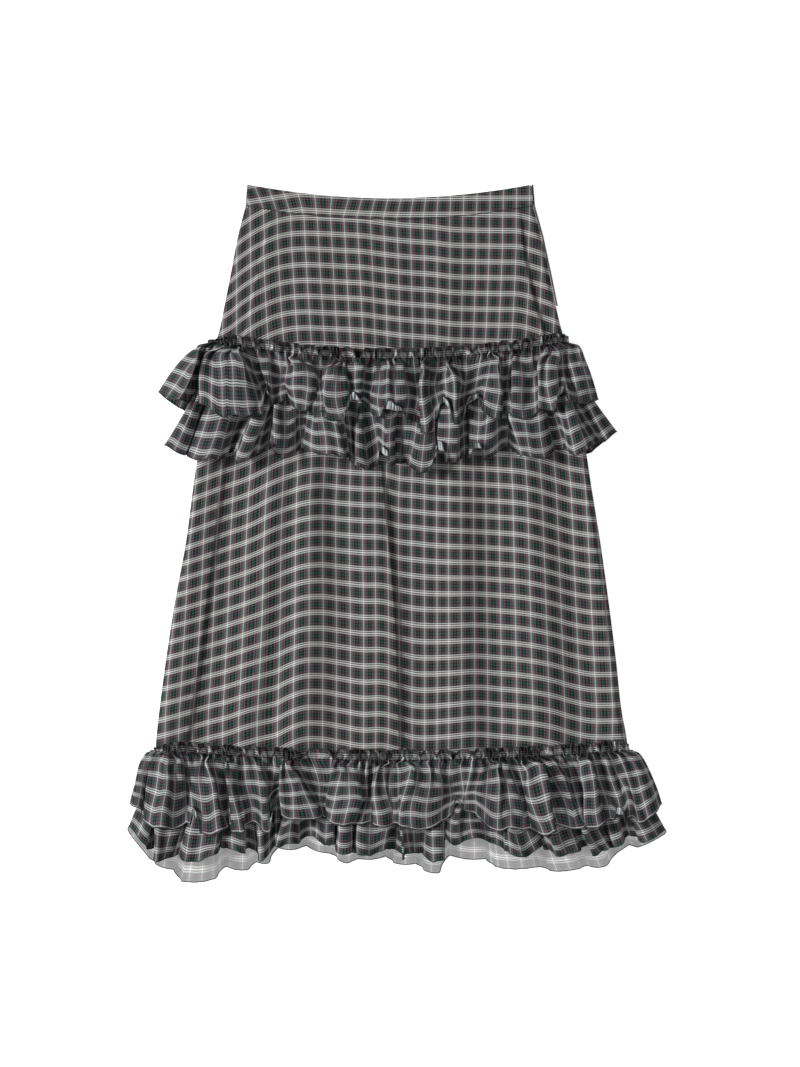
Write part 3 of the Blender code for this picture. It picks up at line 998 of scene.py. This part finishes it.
def round_crests(points, depths):
    """Lower sharp crests to a running mean, more and more from the tier's middle to its hem."""
    for i in range(stitch_row(depths), len(depths)):
        height = points[i, :, 2]
        rounded = np.minimum(height, box_filter(box_filter(height, CREST_WIDTH / ALONG), CREST_WIDTH / ALONG))
        points[i, :, 2] = mix(height, rounded, smooth((depths[i] / depths[-1] - 0.45) / 0.4))


def raise_header(rng, points, depths, strip, gather, face):
    """Stand the header's rows up from the stitch line, in curls that lie forwards and backwards."""
    start = stitch_row(depths)
    wave, phase = uneven_wave(rng, strip.s, HEADER_CURL, 0.35, 0.45)
    drifting = HEADER_DRIFT * uneven_wave(rng, strip.s, 110.0, 0.4)[0]
    lay = np.radians(np.clip(HEADER_LAY + drifting + HEADER_SWING * wave, *HEADER_RANGE)) * face
    line = box_filter(points[start, :, 0], 14 / ALONG)
    crease = points[start, :, 0] - line
    left_end = mix(HEADER_LEFT_END, 1.0, smooth((line - line[0]) / HEADER_GROWS))
    right_end = mix(HEADER_RIGHT_END, 1.0, smooth((line[-1] - line) / HEADER_SHRINKS))
    reach, height = np.zeros(len(line)), np.zeros(len(line))
    for i in range(start - 1, -1, -1):
        out = -depths[i]
        grown = smooth(out / 7.0)
        angle = mix(np.radians(HEADER_ROOT) * face, lay, smooth(out / 5.0))
        step_out = (depths[i + 1] - depths[i]) * left_end * right_end
        reach += step_out * np.cos(angle)
        height += step_out * np.sin(angle)
        points[i, :, 0] = line + crease * (1 - grown) + HEADER_SPREAD * np.cos(phase) * grown * strip.inside
        points[i, :, 1] = row_y(gather, points[i, :, 0]) + reach
        points[i, :, 2] = points[start, :, 2] + height


def ruffle_half(tier, flutes, levels, rng, face, flips=()):
    """The surface of one half of a gathered tier, as [row, column, xyz], and its cloth coordinates, whose
    third value is 1 where a hem shows its underside. The face is 1 in front and 0 behind.

    Each row is a curve of constant cloth length. Its direction swings between the flutes' steep sides, mixed
    with finer gathers near the stitch line, so the cloth is bent but hardly stretched."""
    side, tops, hems, hem_ys = lay_out_lobes(flutes)
    spans = np.maximum(np.diff(hems), 4.0)
    lean, power, lengths = shape_lobes(rng, side, spans, face)
    strip = lay_out_strip(side, spans, lengths)
    lobe, swing = strip.lobe, np.cos(np.pi * strip.part)
    steep = mix(lean[lobe], lean[lobe + 1], strip.part)
    large = box_filter(side[lobe] * steep * np.sign(swing) * np.abs(swing) ** power[lobe], 5 / ALONG)
    flatness = np.ones(len(side))
    flatness[side > 0] = [flute.rise for flute in flutes]
    above = np.linspace(-tier.header, 0, HEADER_ROWS + 1)[:-1] if tier.header else []
    depths = np.concatenate([above, np.arange(0, tier.depth - DOWN / 2, DOWN), [tier.depth]])
    points = np.zeros((len(depths), len(strip.s), 3))
    gather_rows(rng, points, depths, strip, large, tops, hems, tier, levels, flatness, face)
    sway_rows(rng, points, depths, strip, face)
    hang_rows(rng, points, depths, strip, tier.gather, hem_ys, face)
    drift_rows(rng, points, depths, strip, face)
    turned = turn_hem(rng, points, depths, strip, flips, face)
    round_crests(points, depths)
    if tier.header:
        raise_header(rng, points, depths, strip, tier.gather, face)
    uv = np.empty_like(points)
    uv[..., 0] = strip.s[None, :]
    uv[..., 1] = depths[:, None]
    uv[..., 2] = turned
    return points, uv


def lay_over(points, below, clearance):
    """Lift points so that a tier lies on the cloth below it, by heights kept in square cells."""
    both = np.concatenate([points[..., :2].reshape(-1, 2), below[..., :2].reshape(-1, 2)])
    low = np.floor(both.min(axis=0) / HEIGHT_CELL) - 3
    size = np.ceil(both.max(axis=0) / HEIGHT_CELL) + 4 - low
    top = np.zeros(size.astype(int))
    cell = np.round(below[..., :2] / HEIGHT_CELL - low).astype(int)
    np.maximum.at(top, (cell[..., 0].ravel(), cell[..., 1].ravel()), below[..., 2].ravel())
    for _ in range(2):
        top = np.maximum.reduce([np.roll(top, shift, axis) for shift in (-1, 0, 1) for axis in (0, 1)])
    for _ in range(6):
        top = sum(np.roll(top, shift, axis) for shift in (-1, 0, 1) for axis in (0, 1)) / 6
    place = points[..., :2] / HEIGHT_CELL - low
    cell = np.floor(place).astype(int)
    part = place - cell
    x, y = cell[..., 0], cell[..., 1]
    near = mix(top[x, y], top[x + 1, y], part[..., 0])
    far = mix(top[x, y + 1], top[x + 1, y + 1], part[..., 0])
    points[..., 2] = np.maximum(points[..., 2], mix(near, far, part[..., 1]) + clearance)


def refine(grid, axes=(0, 1)):
    """Twice as many rows and columns, or only the axes given, on smooth curves through the old ones."""
    for axis in axes:
        grid = np.moveaxis(grid, axis, 0)
        padded = np.concatenate([2 * grid[:1] - grid[1:2], grid, 2 * grid[-1:] - grid[-2:-1]])
        between = (9 * (padded[1:-2] + padded[2:-1]) - padded[:-3] - padded[3:]) / 16
        out = np.empty((2 * len(grid) - 1, *grid.shape[1:]))
        out[::2] = grid
        out[1::2] = between
        grid = np.moveaxis(out, 0, axis)
    return grid


def even_flutes(front, hang, gather):
    """Back flutes between the side edges of a front tier, which all hang as far below the stitch line."""
    first, last = front[0], front[-1]
    edges = 3 * BACK_FLUTES - 1
    flutes = []
    for k in range(BACK_FLUTES):
        shares = (3 * k / edges, (3 * k + 2) / edges)
        tops = [mix(first.top_left, last.top_right, share) for share in shares]
        hems = [mix(first.hem_left, last.hem_right, share) for share in shares]
        ys = [float(row_y(gather, x)) - hang for x in tops]
        flutes.append(Flute(*tops, *hems, *ys))
    flutes[0] = flutes[0]._replace(left_y=first.left_y)
    flutes[-1] = flutes[-1]._replace(right_y=last.right_y)
    return tuple(flutes)


def ring_tier(name, front, back, open_edge, materials):
    """One tier all round the skirt from its front and back halves, joined at the side seams. Its left edge
    stands open, raised by open_edge at the hem. A second material is for the back half."""
    (front_points, front_uv), (back_points, back_uv) = front, back
    back_points = back_points[:, ::-1]
    front_points[:, -1] = 0.5 * (front_points[:, -1] + back_points[:, 0])
    front_points[:, 0] = 0.5 * (front_points[:, 0] + back_points[:, -1])
    points = np.concatenate([front_points, back_points[:, 1:-1]], axis=1)
    inward = points[..., 0] - points[..., 0].min(axis=1, keepdims=True)
    opened = smooth(front_uv[:, :1, 1] / OPEN_EDGE_DEPTH)
    points[..., 2] += open_edge * opened * (1 - smooth(inward / OPEN_EDGE_WIDTH))
    points[..., 2] = np.maximum(points[..., 2], FLOOR_GAP)
    reach = front_uv[0, -1, 0]
    around = back_uv[:, ::-1].copy()
    around[..., 0] = reach + around[0, 0, 0] - around[..., 0]
    uv = np.concatenate([front_uv, around[:, 1:]], axis=1)
    uv[..., 1] += WEFT_PHASE
    obj = grid_object(name, points, uv[..., :2], closed=True, both_ends=True)
    turned = obj.data.attributes.new(TURNED, "FLOAT", "POINT")
    turned.data.foreach_set("value", np.clip(uv[:, :-1, 2], 0, 1).ravel().astype(np.float32))
    for material in materials:
        obj.data.materials.append(material)
    if len(materials) > 1:
        rows, columns = points.shape[:2]
        index = np.zeros((rows - 1, columns), np.int32)
        index[:, front_points.shape[1] - 1 :] = 1
        obj.data.polygons.foreach_set("material_index", index.ravel())
    return obj


# ---------------------------------------------------------------------------------------------------------
# Threads by geometry nodes
# ---------------------------------------------------------------------------------------------------------


def thread_tree(name, material):
    """A round thread along every edge whose two points are flagged in the hem attribute."""
    tree = bpy.data.node_groups.new(name, "GeometryNodeTree")
    face = tree.interface
    face.new_socket("Geometry", in_out="INPUT", socket_type="NodeSocketGeometry")
    face.new_socket("Radius", in_out="INPUT", socket_type="NodeSocketFloat")
    face.new_socket("Sides", in_out="INPUT", socket_type="NodeSocketInt")
    face.new_socket("Geometry", in_out="OUTPUT", socket_type="NodeSocketGeometry")
    start = tree.nodes.new("NodeGroupInput")
    end = tree.nodes.new("NodeGroupOutput")
    flag = new_node(tree, "GeometryNodeInputNamedAttribute", data_type="BOOLEAN")
    to_curve = tree.nodes.new("GeometryNodeMeshToCurve")
    ring = tree.nodes.new("GeometryNodeCurvePrimitiveCircle")
    sweep = tree.nodes.new("GeometryNodeCurveToMesh")
    realize = tree.nodes.new("GeometryNodeRealizeInstances")
    paint = tree.nodes.new("GeometryNodeSetMaterial")
    set_inputs(flag, Name=HEM_FLAG)
    set_inputs(to_curve, Mesh=start.outputs["Geometry"], Selection=flag.outputs["Attribute"])
    set_inputs(ring, Radius=start.outputs["Radius"], Resolution=start.outputs["Sides"])
    set_inputs(sweep, Curve=to_curve.outputs["Curve"], Profile_Curve=ring.outputs["Curve"])
    set_inputs(realize, Geometry=sweep.outputs["Mesh"])
    set_inputs(paint, Geometry=realize.outputs["Geometry"], Material=material)
    set_inputs(end, Geometry=paint.outputs["Geometry"])
    return tree


def apply_tree(source, tree, name, **inputs):
    """The plain mesh that a tree makes from a piece, as a new object."""
    carrier = new_object(name + "_source", source.data)
    modifier = carrier.modifiers.new("nodes", "NODES")
    modifier.node_group = tree
    for item in tree.interface.items_tree:
        if item.in_out == "INPUT" and item.name.lower() in inputs:
            modifier[item.identifier] = inputs[item.name.lower()]
    bpy.context.view_layer.update()
    evaluated = carrier.evaluated_get(bpy.context.evaluated_depsgraph_get())
    mesh = bpy.data.meshes.new_from_object(evaluated)
    bpy.data.objects.remove(carrier)
    mesh.name = name
    mesh.shade_smooth()
    return new_object(name, mesh)


# ---------------------------------------------------------------------------------------------------------
# Settings
# ---------------------------------------------------------------------------------------------------------


class SkirtSettings(bpy.types.PropertyGroup):
    """Sizes and colours of the weave, the threads and the floor."""

    warp_repeat: FloatProperty(
        name="Warp repeat",
        description="Width of one plaid repeat",
        default=0.0157,
        unit="LENGTH",
    )
    weft_repeat: FloatProperty(
        name="Weft repeat",
        description="Height of one plaid repeat",
        default=0.0186,
        unit="LENGTH",
    )
    # The dark thread along the front panel's top and bottom rows: a seam line that also paints the shadow
    # under the waistband's lower edge.
    seam_shadow_radius: FloatProperty(
        name="Seam",
        description="Radius of the seams' lines on the front panel",
        default=0.00045,
        unit="LENGTH",
    )
    # The painted shade and highlights of the little pleats by a stitch line: how many in a metre, and how far
    # from the line they reach.
    painted_pleats_per_metre: FloatProperty(
        name="Pleats",
        description="Little pleats in a metre of gathered cloth",
        default=230.0,
    )
    painted_pleat_reach: FloatProperty(
        name="Pleat reach",
        description="How far the little pleats reach from the stitch line",
        default=0.013,
        unit="LENGTH",
    )
    hem_radius: FloatProperty(
        name="Rolled hem",
        description="Radius of the rolled hems",
        default=0.0006,
        unit="LENGTH",
    )
    thread_color: FloatVectorProperty(
        name="Thread",
        description="Colour of hem and seam thread",
        default=(0.014, 0.015, 0.015),
        subtype="COLOR",
    )
    sheer_alpha: FloatProperty(
        name="Sheerness",
        description="Cover of a single sheer layer",
        default=0.71,
        subtype="FACTOR",
    )
    floor_color: FloatVectorProperty(
        name="Floor",
        description="Colour of the floor",
        default=(0.45, 0.45, 0.45),
        subtype="COLOR",
    )
    seed: IntProperty(
        name="Seed",
        description="Seed of the gathers",
        default=7,
    )


def settings():
    """The sizes and colours that the panel shows."""
    return bpy.context.scene.skirt_settings


# ---------------------------------------------------------------------------------------------------------
# Pieces
# ---------------------------------------------------------------------------------------------------------

# Rows and columns of the panels' meshes, and columns and points around of the waistband's.
FRONT_GRID = (250, 380)
BACK_GRID = (120, 100)
BAND_GRID = (160, 20)
# How far the panels' side edges bend towards each other, in front and behind.
FRONT_EDGE = -0.75
BACK_EDGE = 0.35
# How far the waistband stands above the panels' upper edge, and how far its front half lies off its back.
BAND_GAP = 0.3
# The waistband's plaid along its length: how far its crossways bands hang and how far its upright lines
# lean.
BAND_HANG = ((-176, 4.0), (-145, -1.0), (-114, -5.5), (-60, -2.5), (0, 0.0), (160, -0.9))
BAND_LEAN = ((-180, 0.45), (-120, 0.30), (-85, 0.0), (-60, -0.28), (0, -0.22), (60, -0.05), (160, 0.0))
BAND_WEFT_PHASE = 3.4
ZIP_COLOR = (0.03, 0.03, 0.033)

# The front panel's points, kept for the ruffles that lie on it.
PANEL_TOP = []


def fold_height(x, y, folds, heights):
    """How high the cloth stands at each point of a grid [row, column] between its upright folds."""
    total = np.empty_like(x)
    rises = np.array([fold.rise for fold in folds])
    order = np.argsort(heights)
    at = np.array(heights, float)[order]
    places = np.array([[fold.high, fold.middle, fold.low] for fold in folds], float)[:, order]
    level = np.clip(y.mean(axis=1), at[0] - 20, at[-1] + 20)
    lines = np.stack([curve_through(level, at, place) for place in places], axis=1)
    for i, line in enumerate(lines):
        k = np.clip(np.searchsorted(line, x[i]) - 1, 0, len(line) - 2)
        share = smooth((x[i] - line[k]) / (line[k + 1] - line[k]))
        total[i] = mix(rises[k], rises[k + 1], share)
    return total


def plaid_coordinates(x, y):
    """Cloth coordinates of the body panels: the warp leans and fans, and the weft bands hang."""
    knots, *tables = zip(*PLAID_HANG)
    upper, lower, bottom, lean, fan = (curve_through(x, knots, table) for table in tables)
    hang = mix(upper, mix(lower, bottom, np.clip(-y / 185, 0, 1.1)), smooth((260 - y) / 140))
    leaning = lean * np.clip((WAIST_SEAM.y - y) / (WAIST_SEAM.y - UPPER_GATHER.y), 0, 1)
    fanning = fan * np.clip((60 - y) / 320, 0, 1.1)
    return x - leaning - fanning, -(y + hang)


def panel(name, rng, bottom, raised, material):
    """The skirt's front, raised in folds, or its flat back, on the body's crossways rows."""
    rows, columns = FRONT_GRID if raised else BACK_GRID
    body = Row(*zip(*BODY_ROWS))
    knots = -np.array(body.y, float)
    at = np.linspace(knots[0], knots[-1], rows)
    height = np.interp(at, knots, body.y)[:, None]
    curves = (body.left, body.right, body.sag)
    left, right, sag = (curve_through(at, knots, values)[:, None] for values in curves)
    steps = (body.lift, body.puff)
    lift, puff = (box_filter(np.interp(at, knots, values), 7)[:, None] for values in steps)
    share = np.linspace(0, 1, columns)[None, :]
    share = share - 0.012 * np.sin(2 * np.pi * share)
    x = left + (right - left) * share
    y = height - sag * (1 - (2 * share - 1) ** 2)
    z = lift + bottom + np.zeros_like(x)
    edge = np.minimum(share, 1 - share) * (right - left)
    if raised:
        upper = fold_height(x, y, UPPER_FOLDS, UPPER_FOLD_AT)
        lower = fold_height(x, y, LOWER_FOLDS, LOWER_FOLD_AT)
        relief = mix(lower, upper, smooth((y - 130) / 40)) + 0.4 * waves(rng, x, y, 5, 60, 150)
        z = z + np.maximum(relief, 0.0) * (0.06 + 0.94 * puff) * smooth(edge / 7.0)
    z = z + (1 - smooth(edge / 5.0)) * (FRONT_EDGE if raised else BACK_EDGE)
    u, v = plaid_coordinates(x, y)
    wide = np.gradient(x, axis=1)
    spare = np.cumsum(np.hypot(np.gradient(z, axis=1), wide) - wide, axis=1)
    u = u + spare - spare[:, :1] - (spare[:, -1:] - spare[:, :1]) * share
    points = np.stack([x, y, z], axis=2)
    if raised:
        PANEL_TOP.append(points)
    obj = grid_object(name, points, np.stack([u, v], axis=2), both_ends=raised)
    obj.data.materials.append(material)
    return obj


def waistband_half(name, bottom, material):
    """A straight band folded double: flat walls with round long edges."""
    columns, around = BAND_GRID
    share = np.linspace(0, 1, columns)[None, :]
    turn = np.linspace(0, 2 * np.pi, around, endpoint=False)[:, None]
    low, high = WAIST_SEAM, BAND_TOP
    half = BAND_WALL / 2
    upwards = 0.5 + 0.5 * np.sign(np.cos(turn)) * np.abs(np.cos(turn)) ** 0.35
    outwards = np.sign(np.sin(turn)) * np.abs(np.sin(turn)) ** 0.6
    left = mix(low.left, high.left, upwards)
    right = mix(low.right, high.right, upwards)
    x = left + (right - left) * share
    sag = low.sag * (1 - (2 * share - 1) ** 2)
    height = mix(low.y + BAND_GAP, high.y, upwards)
    rounding = smooth(1 - (right - x) / BAND_CORNER) * BAND_CORNER
    y = height - sag - rounding * upwards
    z = bottom + half + half * outwards + np.zeros_like(x)
    points = np.stack([x, y, z], axis=2)
    hang = np.interp(x, *zip(*BAND_HANG))
    lean = np.interp(x, *zip(*BAND_LEAN))
    uv = np.stack([x + (height - low.y) * lean, -(y + hang) + BAND_WEFT_PHASE], axis=2)
    rings = []
    for r in range(around):
        after = (r + 1) % around
        rings += [[(r, c), (r, c + 1), (after, c + 1), (after, c)] for c in range(columns - 1)]
    rings.append([(r, 0) for r in range(around)])
    rings.append([(r, columns - 1) for r in reversed(range(around))])
    faces = [[r * columns + c for r, c in ring] for ring in rings]
    corners = np.array([uv[place] for ring in rings for place in ring])
    mesh = cloth_mesh(name, points, faces, corners)
    mesh.set_sharp_from_angle(angle=np.radians(50))
    mesh.update()
    obj = new_object(name, mesh)
    obj.data.materials.append(material)
    return obj


class SKIRT_OT_body(bpy.types.Operator):
    """Make the front and back panels and the waistband"""

    bl_idname = "skirt.make_body"
    bl_label = "Body and Waistband"

    def execute(self, context):
        sizes = settings()
        cloth = plaid_material("plaid_body", sizes, BODY_TINT)
        rng = np.random.default_rng(sizes.seed)
        front = panel("front_panel_cloth", rng, CLOTH_MIDDLE + STEP, True, cloth)
        back = panel("back_panel_cloth", rng, CLOTH_MIDDLE, False, cloth)
        # A dark thread along the front panel's top and bottom rows. At the waist it stands for the seam and
        # also paints the shadow line under the waistband's lower edge.
        tree = thread_tree("Seam Shadow Thread", thread_material("seam_shadow_thread", sizes.thread_color))
        seam = apply_tree(front, tree, "front_seam_shadow_thread", radius=sizes.seam_shadow_radius, sides=5)
        finish_piece(seam, "panel")
        for obj, node, under in ((front, "front_panel", "back_panel"), (back, "back_panel", "floor")):
            finish_piece(obj, "panel", node)
        over = waistband_half("waistband_front_cloth", BAND_WALL + BAND_GAP, cloth)
        lower = waistband_half("waistband_back_cloth", 0.0, cloth)
        for obj, node, under in (
            (over, "waistband_front", "waistband_back"),
            (lower, "waistband_back", "floor"),
        ):
            finish_piece(obj, "waistband", node)
        return {"FINISHED"}


class SKIRT_OT_ruffles(bpy.types.Operator):
    """Make the upper and the hem ruffles, each long tier before the short one over it, with rolled hems"""

    bl_idname = "skirt.make_ruffles"
    bl_label = "Ruffles"

    def execute(self, context):
        sizes = settings()
        # The ruffles' plaid carries the painted shade and highlights of the little pleats by the stitch
        # lines.
        cloth = plaid_material("plaid_ruffle_pleat_shade", sizes, RUFFLE_TINT, gathered=True)
        sheer = plaid_material("plaid_sheer", sizes, SHEER_TINT, alpha=sizes.sheer_alpha)
        tree = thread_tree("Rolled Hem", thread_material("hem_thread", sizes.thread_color))
        below = None
        for k, tier in enumerate(TIERS):
            rng = np.random.default_rng(sizes.seed + 10 * k)
            front, front_uv = ruffle_half(tier, tier.flutes, tier.levels, rng, 1, tier.flips)
            behind = tier.behind or even_flutes(tier.flutes, tier.hang, tier.gather)
            back, back_uv = ruffle_half(tier, behind, tier.back_levels, rng, 0)
            lay_over(front, PANEL_TOP[0], TIER_GAP)
            if tier.behind:
                lay_over(front, back, LINING_GAP)
            if tier.header:
                lay_over(front, below, TIER_GAP)
            height = front[..., 2]
            # This changes front itself.
            height -= CREST_FLATTENING * np.maximum(height - CREST_FROM, 0.0)
            height -= TOP_FLATTENING * np.maximum(height - CREST_LIMIT, 0.0)
            below = front
            halves = ((refine(front), refine(front_uv)), (refine(back, (0,)), refine(back_uv, (0,))))
            materials = (cloth, sheer) if tier.behind else (cloth,)
            obj = ring_tier(tier.name + "_cloth", *halves, tier.open_edge, materials)
            finish_piece(obj, "ruffle", tier.name + "_front", tier.name + "_back")
            hem = apply_tree(obj, tree, tier.name + "_rolled_hem", radius=sizes.hem_radius, sides=5)
            finish_piece(hem, "ruffle")
        return {"FINISHED"}


class SKIRT_OT_zip(bpy.types.Operator):
    """Give the imported closed zip in the right side seam a dark coil material"""

    bl_idname = "skirt.make_zip"
    bl_label = "Side Zip"

    def execute(self, context):
        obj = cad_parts["side_zip"]
        obj.data.materials.clear()
        obj.data.materials.append(thread_material("zip_coil", ZIP_COLOR))
        return {"FINISHED"}


# ---------------------------------------------------------------------------------------------------------
# Stage
# ---------------------------------------------------------------------------------------------------------

FLOOR_REACH = 6.0
WHITE = (1.0, 1.0, 1.0, 1.0)
WORLD_STRENGTH = 0.27

# The camera looks straight down. The frame's size and the place of the skirt's origin in it are in pixels,
# and MM_PER_PX is their scale on the floor.
CAMERA_HEIGHT = 3.4
SENSOR_MM = 36.0
FRAME_WIDTH_PX, FRAME_HEIGHT_PX = 800, 1067
ORIGIN_X_PX, ORIGIN_Y_PX = 396.5, 533
MM_PER_PX = 1.18

# Soft rectangular lights that point at the origin: place, width and height in metres, and power in watts.
Lamp = namedtuple("Lamp", "name place width height power")
LAMPS = (
    Lamp("key", (-4.8, 1.2, 3.6), 1.8, 1.8, 622),
    Lamp("fill", (1.2, -1.3, 2.6), 2.0, 2.0, 32),
)


def area_light(lamp):
    """A soft light that points at the origin."""
    light = bpy.data.lights.new(lamp.name, "AREA")
    light.shape = "RECTANGLE"
    light.size, light.size_y = lamp.width, lamp.height
    light.energy = lamp.power
    obj = new_object(lamp.name, light)
    obj.location = lamp.place
    obj.rotation_euler = (-Vector(lamp.place)).to_track_quat("-Z", "Y").to_euler()


def paper_floor():
    """A wide square of bright paper under the skirt."""
    material, _, shader = new_material("floor_paper")
    set_inputs(shader, Base_Color=(*settings().floor_color, 1.0), Roughness=0.9, Specular_IOR_Level=0.1)
    set_inputs(shader, Emission_Color=WHITE, Emission_Strength=0.8)
    corners = [(x * FLOOR_REACH, y * FLOOR_REACH, 0) for x, y in ((-1, -1), (1, -1), (1, 1), (-1, 1))]
    mesh = bpy.data.meshes.new("floor")
    mesh.from_pydata(corners, [], [(0, 1, 2, 3)])
    mesh.materials.append(material)
    return new_object("floor", mesh)


def top_camera():
    """The camera straight above, with the skirt's origin at its place in the frame."""
    camera = bpy.data.cameras.new("camera")
    camera.sensor_fit = "VERTICAL"
    camera.sensor_height = SENSOR_MM
    camera.lens = SENSOR_MM * CAMERA_HEIGHT / (FRAME_HEIGHT_PX * MM_PER_PX * MM)
    camera.clip_end = 50.0
    x = (FRAME_WIDTH_PX / 2 - ORIGIN_X_PX) * MM_PER_PX * MM
    y = (ORIGIN_Y_PX - FRAME_HEIGHT_PX / 2) * MM_PER_PX * MM
    obj = new_object("camera", camera)
    obj.location = (x, y, CAMERA_HEIGHT)
    return obj


class SKIRT_OT_stage(bpy.types.Operator):
    """Make the floor, the soft lights and the camera straight above"""

    bl_idname = "skirt.make_stage"
    bl_label = "Stage"

    def execute(self, context):
        paper_floor()
        for lamp in LAMPS:
            area_light(lamp)
        world = bpy.data.worlds.new("studio")
        world.use_nodes = True
        set_inputs(world.node_tree.nodes["Background"], Color=WHITE, Strength=WORLD_STRENGTH)
        context.scene.world = world
        context.scene.view_settings.view_transform = "Standard"
        context.scene.camera = top_camera()
        return {"FINISHED"}


# ---------------------------------------------------------------------------------------------------------
# The add-on
# ---------------------------------------------------------------------------------------------------------


class SKIRT_PT_panel(bpy.types.Panel):
    """The settings, and a button for each group of pieces"""

    bl_label = "Tiered Ruffle Skirt"
    bl_idname = "SKIRT_PT_panel"
    bl_space_type = "VIEW_3D"
    bl_region_type = "UI"
    bl_category = "Skirt"

    def draw(self, context):
        layout = self.layout
        for name in SkirtSettings.__annotations__:
            layout.prop(context.scene.skirt_settings, name)
        for operator in OPERATORS:
            layout.operator(operator.bl_idname)


OPERATORS = (SKIRT_OT_stage, SKIRT_OT_body, SKIRT_OT_ruffles, SKIRT_OT_zip)
CLASSES = (SkirtSettings, *OPERATORS, SKIRT_PT_panel)


def register():
    for cls in CLASSES:
        bpy.utils.register_class(cls)
    bpy.types.Scene.skirt_settings = PointerProperty(type=SkirtSettings)


def unregister():
    del bpy.types.Scene.skirt_settings
    for cls in reversed(CLASSES):
        bpy.utils.unregister_class(cls)


def main():
    register()
    bpy.ops.skirt.make_stage()
    bpy.ops.skirt.make_body()
    bpy.ops.skirt.make_ruffles()
    bpy.ops.skirt.make_zip()


if __name__ == "__main__":
    main()
